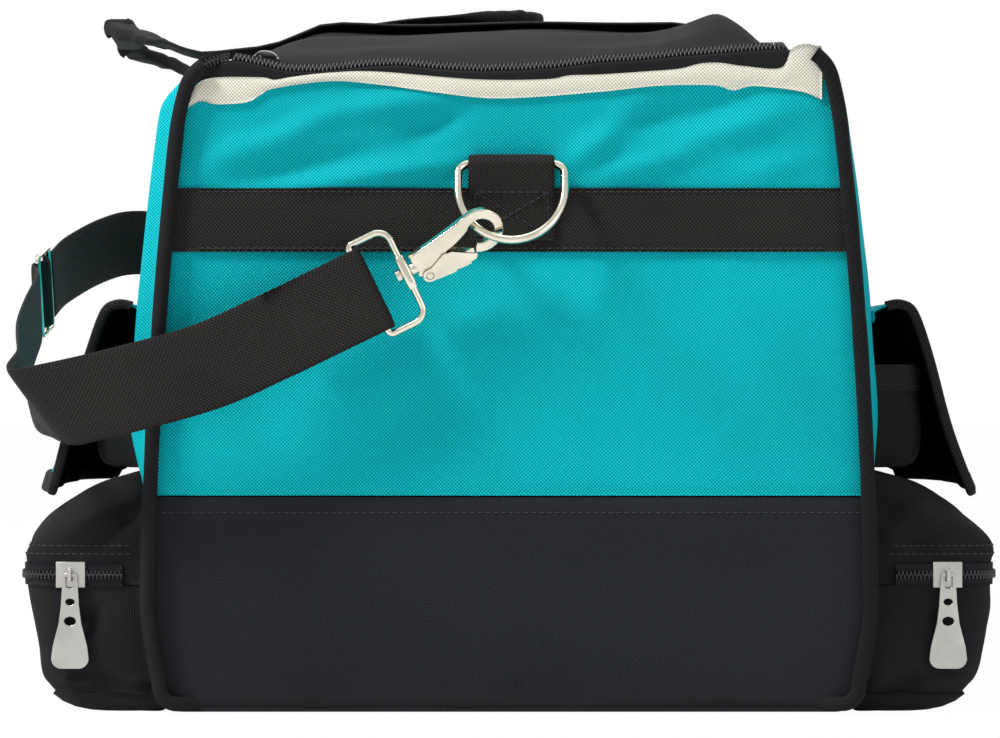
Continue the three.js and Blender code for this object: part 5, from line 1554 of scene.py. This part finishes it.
# %% Pocket zips
def pocket_band(side, low, high, out, columns):
    """An upright band round the pocket, out metres off its cloth."""
    y, share = pocket_ends()
    keep = share > 0.13
    y, share = y[keep, None], share[keep, None]
    z = np.linspace(low, high, columns)[None, :]
    x = side * (half_width(z, y) + 0.0005 + LOWER_DEPTH * share)
    flat = np.stack([x, y + 0 * x, z + 0 * x], -1)
    n = normals(flat)
    return flat + out * n * np.sign(np.sum(n[..., 0] * side))


for side_name, side in SIDES.items():
    surface = pocket_band(side, 0.0552, 0.0648, 0.0011, 6)
    band = slab(f"{side_name}_pocket_zip_tape", surface, 0.001, oxford, "bag",
                "charcoal_fabric", out=(side, 0, 0))
    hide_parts(f"{side_name}_pocket_zip")
    line = pocket_band(side, 0.0599, 0.0601, 0.0016, 2)[:, 0]
    for name, up in (("upper", 1.0), ("lower", -1.0)):
        across = np.broadcast_to((0, 0, up), line.shape)
        coil(f"{side_name}_pocket_coil_{name}", line, across, (-0.0005, 0.0019), "bag",
             0.5 * (up < 0))
print("lower pockets made")

# %% [markdown]
# ## Shoulder strap and its fittings
#
# The rigid fittings hang in frames of their own: s runs along the swivel from the strap's loop
# to the hook's eye, t across it, n square to both.

# %% Fitting frames
TILT = math.radians(27)
RING_X = 0.001
RING_HALF, RING_DEPTH, RING_ARC = 0.0234, 0.038, 0.026
LIES = {"near": (math.radians(26), 0.7), "far": (math.radians(-6), 0.8)}
HOOK_EYE = np.array([0.037, 0.0032, 0.0])
ROLL = math.radians(34)
LOOP_BAR = -0.018


def rotate_x(p, a):
    c, s = math.cos(a), math.sin(a)
    return p @ np.array([[1, 0, 0], [0, c, s], [0, -s, c]])


def rotate_y(p, a):
    c, s = math.cos(a), math.sin(a)
    return p @ np.array([[c, 0, -s], [0, 1, 0], [s, 0, c]])


def ring_point(across, down):
    """across and down in the ring's own plane, which tilts outward below its bar."""
    return np.stack([RING_X + across, BAR_Y + down * math.sin(TILT),
                     BAR_Z + down * math.cos(TILT)], -1)


def fitting(end, p, vector=False):
    """From s, t, n to the bag's frame, for the strap's loop, which isn't rolled."""
    angle, share = LIES[end]
    p = np.asarray(p, float)
    if not vector:
        p = p - rotate_x(HOOK_EYE[None], ROLL)[0]
    p = rotate_y(rotate_x(p, math.pi / 2), -angle)
    if not vector:
        arc = -(RING_DEPTH - RING_ARC) - RING_ARC * math.sin(share * math.pi)
        p = p + ring_point(np.array(RING_HALF * math.cos(share * math.pi)), arc)
    return p * ((1, -1, 1) if end == "far" else (1, 1, 1))


print("outer bar of the near loop:", np.round(fitting("near", [[LOOP_BAR, 0, 0]])[0], 4))

# %% [markdown]
# D-rings, strap loops and the strap's slide are bent from round wire: a path of straight lines
# and arcs gets a round section. The CAD solids of these are faceted, so finer ones stand in.

# %% Wire fittings
RING_WIRE, LOOP_WIRE = 0.0019, 0.0016


def arc(centre, radius, start, stop):
    angle = np.radians(np.linspace(start, stop, 10))
    return np.array(centre) + radius * np.stack([np.cos(angle), np.sin(angle)], 1)


def dring_path():
    corner = 0.005
    inner, top = RING_HALF - corner, -corner
    bend = np.linspace(0, math.pi, 48)
    low = -(RING_DEPTH - RING_ARC)
    bow = np.stack([RING_HALF * np.cos(bend), low - RING_ARC * np.sin(bend)], 1)
    line = np.linspace([-inner, 0], [inner, 0], 12)
    return np.concatenate([line, arc((inner, top), corner, 90, 0)[1:], bow,
                           arc((-inner, top), corner, 180, 90)[:-1]])


def collar(end):
    """The swivel's collar on the loop: a rounded block, drawn in towards both its ends.

    Its section is |cos a|^0.5 and |sin a|^0.5, each with its sign and half size.
    """
    angle = np.linspace(0, 2 * math.pi, 24, endpoint=False)
    round_box = [np.sign(wave) * np.abs(wave) ** 0.5 * half
                 for wave, half in ((np.cos(angle), 0.0022), (np.sin(angle), 0.0027))]
    reach = np.array([-0.0077, -0.0074, -0.005, 0.005, 0.0074, 0.0077])[:, None]
    draw = np.array([0.75, 0.92, 1.0, 1.0, 0.92, 0.75])[:, None]
    local = np.stack([round_box[0] * draw, reach + 0 * angle, round_box[1] * draw], -1)
    return swept(fitting(end, local))


def loop_path():
    half, depth, corner, tight = 0.0214, 0.018, 0.006, 0.002
    return np.concatenate([
        np.linspace((0, -half + corner), (0, half - corner), 12),
        arc((-corner, half - corner), corner, 0, 90)[1:],
        arc((-depth + tight, half - tight), tight, 90, 180),
        np.linspace((-depth, half - tight), (-depth, -half + tight), 12)[1:-1],
        arc((-depth + tight, -half + tight), tight, 180, 270),
        arc((-corner, -half + corner), corner, 270, 360)[:-1],
    ])


for end_name, end in ENDS.items():
    outline = dring_path()
    mirror = np.array((1, -end, 1))
    path = ring_point(outline[:, 0], outline[:, 1]) * mirror
    ring = tube(f"ring_wire_{end_name}", path, RING_WIRE, nickel, f"ring_{end_name}",
                "polished_nickel", sides=20, closed=True)
    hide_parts(f"dring_{end_name}")
    flat = loop_path()
    path = fitting(end_name, np.concatenate([flat, np.zeros((len(flat), 1))], 1))
    wire = tube_parts(path, LOOP_WIRE, sides=18, closed=True)
    made = join(f"strap_loop_wire_{end_name}", [wire, collar(end_name)], nickel,
                f"ring_{end_name}", "polished_nickel")
    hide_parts(f"strap_loop_{end_name}")
print("points round a D-ring:", len(outline))

# %% [markdown]
# Cast and stamped fittings keep the form of their solids. A merged copy gets its edges rounded
# by a bevel, so that they catch the light as tumbled and plated edges do.

# %% Cast fittings
SAME_POINT = 2e-6


def rounded_copy(node, material, body, width):
    source = bpy.data.objects[node]
    copy = source.data.copy()
    mesh = bmesh.new()
    mesh.from_mesh(copy)
    bmesh.ops.remove_doubles(mesh, verts=mesh.verts, dist=SAME_POINT)
    bmesh.ops.dissolve_limit(mesh, angle_limit=math.radians(1.0), verts=mesh.verts,
                             edges=mesh.edges)
    mesh.to_mesh(copy)
    mesh.free()
    copy.materials.clear()
    copy.materials.append(material)
    made = bpy.data.objects.new(f"{node}_rounded", copy)
    bpy.context.scene.collection.objects.link(made)
    bevel = made.modifiers.new("bevel", "BEVEL")
    bevel.width = width
    bevel.segments = 2
    bevel.limit_method = "ANGLE"
    bevel.angle_limit = math.radians(35)
    bevel.harden_normals = False
    copy.shade_smooth()
    copy.set_sharp_from_angle(angle=math.radians(38))
    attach(made, body)
    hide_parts(node)


for end_name in ENDS:
    rounded_copy(f"snap_hook_{end_name}", nickel, f"hook_{end_name}", 0.00035)
    rounded_copy(f"hook_gate_{end_name}", nickel, f"gate_{end_name}", 0.0002)
    for piece in ("slider", "pull"):
        rounded_copy(f"main_{piece}_{end_name}", satin, f"main_{piece}_{end_name}",
                     0.0003)
for side_name in SIDES:
    for piece in ("slider", "pull"):
        rounded_copy(f"{side_name}_pocket_{piece}", satin, f"{side_name}_pocket_{piece}",
                     0.0003)
print("fittings made")

# %% [markdown]
# ## Strap
#
# The shoulder strap is webbing on edge. It leaves each loop in two layers that are sewn
# together, and its middle passes the left flank and weaves through a wire slide.

# %% Strap route
WRAP_ROOM = 0.00035
WRAP = LOOP_WIRE + WRAP_ROOM + WEB_THICKNESS / 2
STRAP_TAIL = 0.042
BLEND_END = -0.16
NEAR_ROUTE = np.array([
    (-130, -304, 152.5), (-165, -305, 142.5), (-193, -303, 136), (-203.5, -298, 134.5),
    (-208, -289, 135.5), (-212, -270, 139), (-221, -215, 145), (-236, -110, 156),
    (-249, 10, 169), (-255, 100, 184),
]) * MM
CREASE = np.array((-0.62, 0.0, 0.78))
CREASE_REACH = 0.032
FAR_ROUTE = np.array([
    (-252, 205, 208), (-238, 250, 220), (-222, 280, 226), (-196, 296, 224), (-150, 302, 215),
]) * MM
SLIDE_AT = np.array((-258, 150, 194)) * MM
SLIDE_AHEAD = np.array((-256, 170, 199)) * MM
SLIDE_WIRE = 0.0015
SLIDE_PITCH = 0.013
along = (SLIDE_AHEAD - SLIDE_AT) / np.linalg.norm(SLIDE_AHEAD - SLIDE_AT)
slide_across = np.array([0, 0, 1.0]) - along * along[2]
slide_across /= np.linalg.norm(slide_across)
slide_out = np.cross(slide_across, along)


def strap_end(end):
    """Points and across vectors from the sewn-back tail's end round the loop's outer bar."""
    turn = np.linspace(-math.pi / 2, math.pi / 2, 13)
    tail = [LOOP_BAR - STRAP_TAIL, LOOP_BAR - STRAP_TAIL / 3]
    s = np.concatenate([tail, LOOP_BAR + WRAP * np.cos(turn), tail[::-1]])
    n = np.concatenate([[-WRAP + 0.0026, -WRAP + 0.0009], WRAP * np.sin(turn), [WRAP, WRAP]])
    path = fitting(end, np.stack([s, 0 * s, n], 1))
    across = fitting(end, np.tile((0, 1.0, 0), (len(s), 1)), vector=True)
    return path, across


def weave(start, stop):
    """Through the slide: outside its end bars and inside its middle bar, a cosine wave."""
    run = np.linspace(start, stop, 18) * SLIDE_PITCH
    rise = SLIDE_WIRE + WRAP_ROOM + WEB_THICKNESS / 2
    height = rise * np.cos(math.pi * run / SLIDE_PITCH)
    path = SLIDE_AT + run[:, None] * along - height[:, None] * slide_out
    return path, np.tile(slide_across, (len(run), 1))


def strap_run(first, route, last, count, crease=None):
    """A smooth run from one station to another; its across vector leans towards upright.

    Where the strap is folded back, the across vector turns to the fold's line, so that the
    cloth on both sides of the fold stays flat.
    """
    points = np.concatenate([first[0][-1:], route, last[0][:1]])
    path = smooth(points, count)[1:-1]
    share = np.linspace(0, 1, count)[1:-1, None]
    across = unit(first[1][-1] * (1 - share) + last[1][0] * share + np.array([0, 0, 0.5]))
    if crease is not None:
        off = np.linalg.norm(path - crease, axis=1)[:, None]
        across = across + (CREASE - across) * np.exp(-((off / CREASE_REACH) ** 2))
    return path, unit(across)


def blend_marks(end):
    """Where the strap's end rides on the ring, and where it rides on the bag."""
    return (tuple(float(v) for v in place)
            for place in fitting(end, np.array([[LOOP_BAR, 0, 0], [BLEND_END, 0, 0]])))


near_end, far_end = strap_end("near"), strap_end("far")
far_back = (far_end[0][::-1], far_end[1][::-1])
into, outof = weave(-1.5, 0.0), weave(0.0, 1.5)
halves = {
    "near": [near_end, strap_run(near_end, NEAR_ROUTE, into, 230, NEAR_ROUTE[3]), into],
    "far": [outof, strap_run(outof, FAR_ROUTE, far_back, 130), far_back],
}
strap_length = 0.0
for name, pieces in halves.items():
    path = np.concatenate([each[0] for each in pieces])
    across = np.concatenate([each[1] for each in pieces])
    step = np.linalg.norm(np.diff(path, axis=0), axis=1)
    keep = np.concatenate([[True], step > 1e-5])
    path, across = path[keep], across[keep]
    strap_length += float(run_along(path)[-1])
    strap = ribbon(f"strap_{name}", path, across, WEB, WEB_THICKNESS, webbing, None, "webbing",
                   ruled=name == "near")
    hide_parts("shoulder_strap")
    ring_end, bag_end = blend_marks(name)
    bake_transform(strap)
print("strap length", round(strap_length, 3))

# %% [markdown]
# Two rows of thread across the strap hold its tail to its back near the loop.

# %% Strap stitches
STITCH_ROWS = ((-0.030, 0.0004), (-0.054, 0.0))
for name in ENDS:
    t = np.linspace(-WEB / 2 + 0.002, WEB / 2 - 0.002, 20)
    out = tuple(float(v) for v in fitting(name, np.array([(0, 0, -1.0)]), vector=True)[0])
    runs = [(fitting(name, np.stack([0 * t + s, t, 0 * t - WRAP - rise], 1)), out)
            for s, rise in STITCH_ROWS]
    made = stitches(f"strap_stitches_{name}", runs, thread_black, None)
    ring_end, bag_end = blend_marks(name)
    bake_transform(made)
print("rows of thread:", 2 * len(STITCH_ROWS))

# %% [markdown]
# The slide that sets the strap's length is a wire frame with a bar across its middle.

# %% Slide
def slide_wire():
    half = WEB / 2 + 0.002 + SLIDE_WIRE
    reach, corner = SLIDE_PITCH, 0.003
    flat = np.concatenate([
        arc((reach - corner, half - corner), corner, 0, 90),
        arc((-reach + corner, half - corner), corner, 90, 180),
        arc((-reach + corner, -half + corner), corner, 180, 270),
        arc((reach - corner, -half + corner), corner, 270, 360),
    ])
    return SLIDE_AT + flat[:, :1] * along + flat[:, 1:] * slide_across, half


path, half = slide_wire()
bar = SLIDE_AT + np.linspace(-half, half, 8)[:, None] * slide_across
slide = join("strap_slide", [tube_parts(path, SLIDE_WIRE, closed=True, sides=14),
                             tube_parts(bar, SLIDE_WIRE, sides=14)], nickel, "bag",
             "polished_nickel")
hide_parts("strap_adjuster")
print("slide's length:", 2 * SLIDE_PITCH)

# %% [markdown]
# ## Studio
#
# A wide flat floor and the sky are plain white to the camera, so the bag can be looked at from
# all sides. Reflections see half of that white.

# %% Floor
FLOOR_HALF, FLOOR_LEVEL = 8.0, -0.0006
FLOOR_WHITE, SKY_WHITE = 0.97, 1.0
GLOSSY_SHARE = 0.5
corner = np.array([-FLOOR_HALF, FLOOR_HALF])
surface = np.stack([*np.meshgrid(corner, corner, indexing="ij"), np.full((2, 2), FLOOR_LEVEL)], -1)
floor_look = Surface("studio_white", Roughness=0.9, Base_Color=(0.86, 0.86, 0.86, 1))


def seen_white(tree, plain, share):
    """The plain shader for light that falls on the bag, and pure white for what is looked at.

    Reflections see half of each, so that the metal fittings keep some contrast.
    """
    rays = add_node(tree, "ShaderNodeLightPath").socket.node
    seen, glossy, through = (Value(tree, rays.outputs[f"Is {kind} Ray"])
                             for kind in ("Camera", "Glossy", "Transmission"))
    seen = seen.math("MAXIMUM", glossy * GLOSSY_SHARE).math("MAXIMUM", through)
    kind = "ShaderNodeBackground" if plain.node.type == "BACKGROUND" else "ShaderNodeEmission"
    white = add_node(tree, kind, {"Color": (1, 1, 1, 1), "Strength": 1.0})
    mix = add_node(tree, "ShaderNodeMixShader", {0: seen * share, 1: Value(tree, plain), 2: white})
    output = next(node for node in tree.nodes if node.type.startswith("OUTPUT"))
    tree.links.new(mix.socket, output.inputs["Surface"])


seen_white(floor_look.tree, floor_look.shader.outputs[0], FLOOR_WHITE)
backdrop = put("studio_floor", surface.reshape(-1, 3), *grid(surface), floor_look.material)
print("floor laid")

# %% [markdown]
# Soft lamps light the bag from both sides, from above and from behind, each aimed at its middle.

# %% Lamps and sky
AIM = Vector((0, 0, 0.15))
SKY_STRENGTH = 0.34


def lamp(name, place, size, power):
    data = bpy.data.lights.new(name, "AREA")
    data.shape = "RECTANGLE"
    data.size, data.size_y = size
    data.energy = power
    made = bpy.data.objects.new(name, data)
    made.location = place
    made.rotation_euler = (AIM - Vector(place)).to_track_quat("-Z", "Y").to_euler()
    bpy.context.scene.collection.objects.link(made)


lamp("key", (-1.5, -1.0, 2.0), (0.5, 0.5), 62)
lamp("fill", (1.7, -1.9, 0.8), (1.2, 1.2), 7)
lamp("top", (0.1, 0.1, 2.2), (1.6, 1.6), 14)
lamp("back", (0.2, 2.2, 1.4), (1.8, 1.2), 10)

world = bpy.data.worlds.new("sky")
world.use_nodes = True
sky = world.node_tree.nodes["Background"]
sky.inputs["Color"].default_value = (1, 1, 1, 1)
sky.inputs["Strength"].default_value = SKY_STRENGTH
seen_white(world.node_tree, sky.outputs[0], SKY_WHITE)
bpy.context.scene.world = world
bpy.context.scene.view_settings.view_transform = "Standard"
print("lamps:", len(bpy.data.lights))

# %% [markdown]
# ## End

# %% Finish
print("finished")
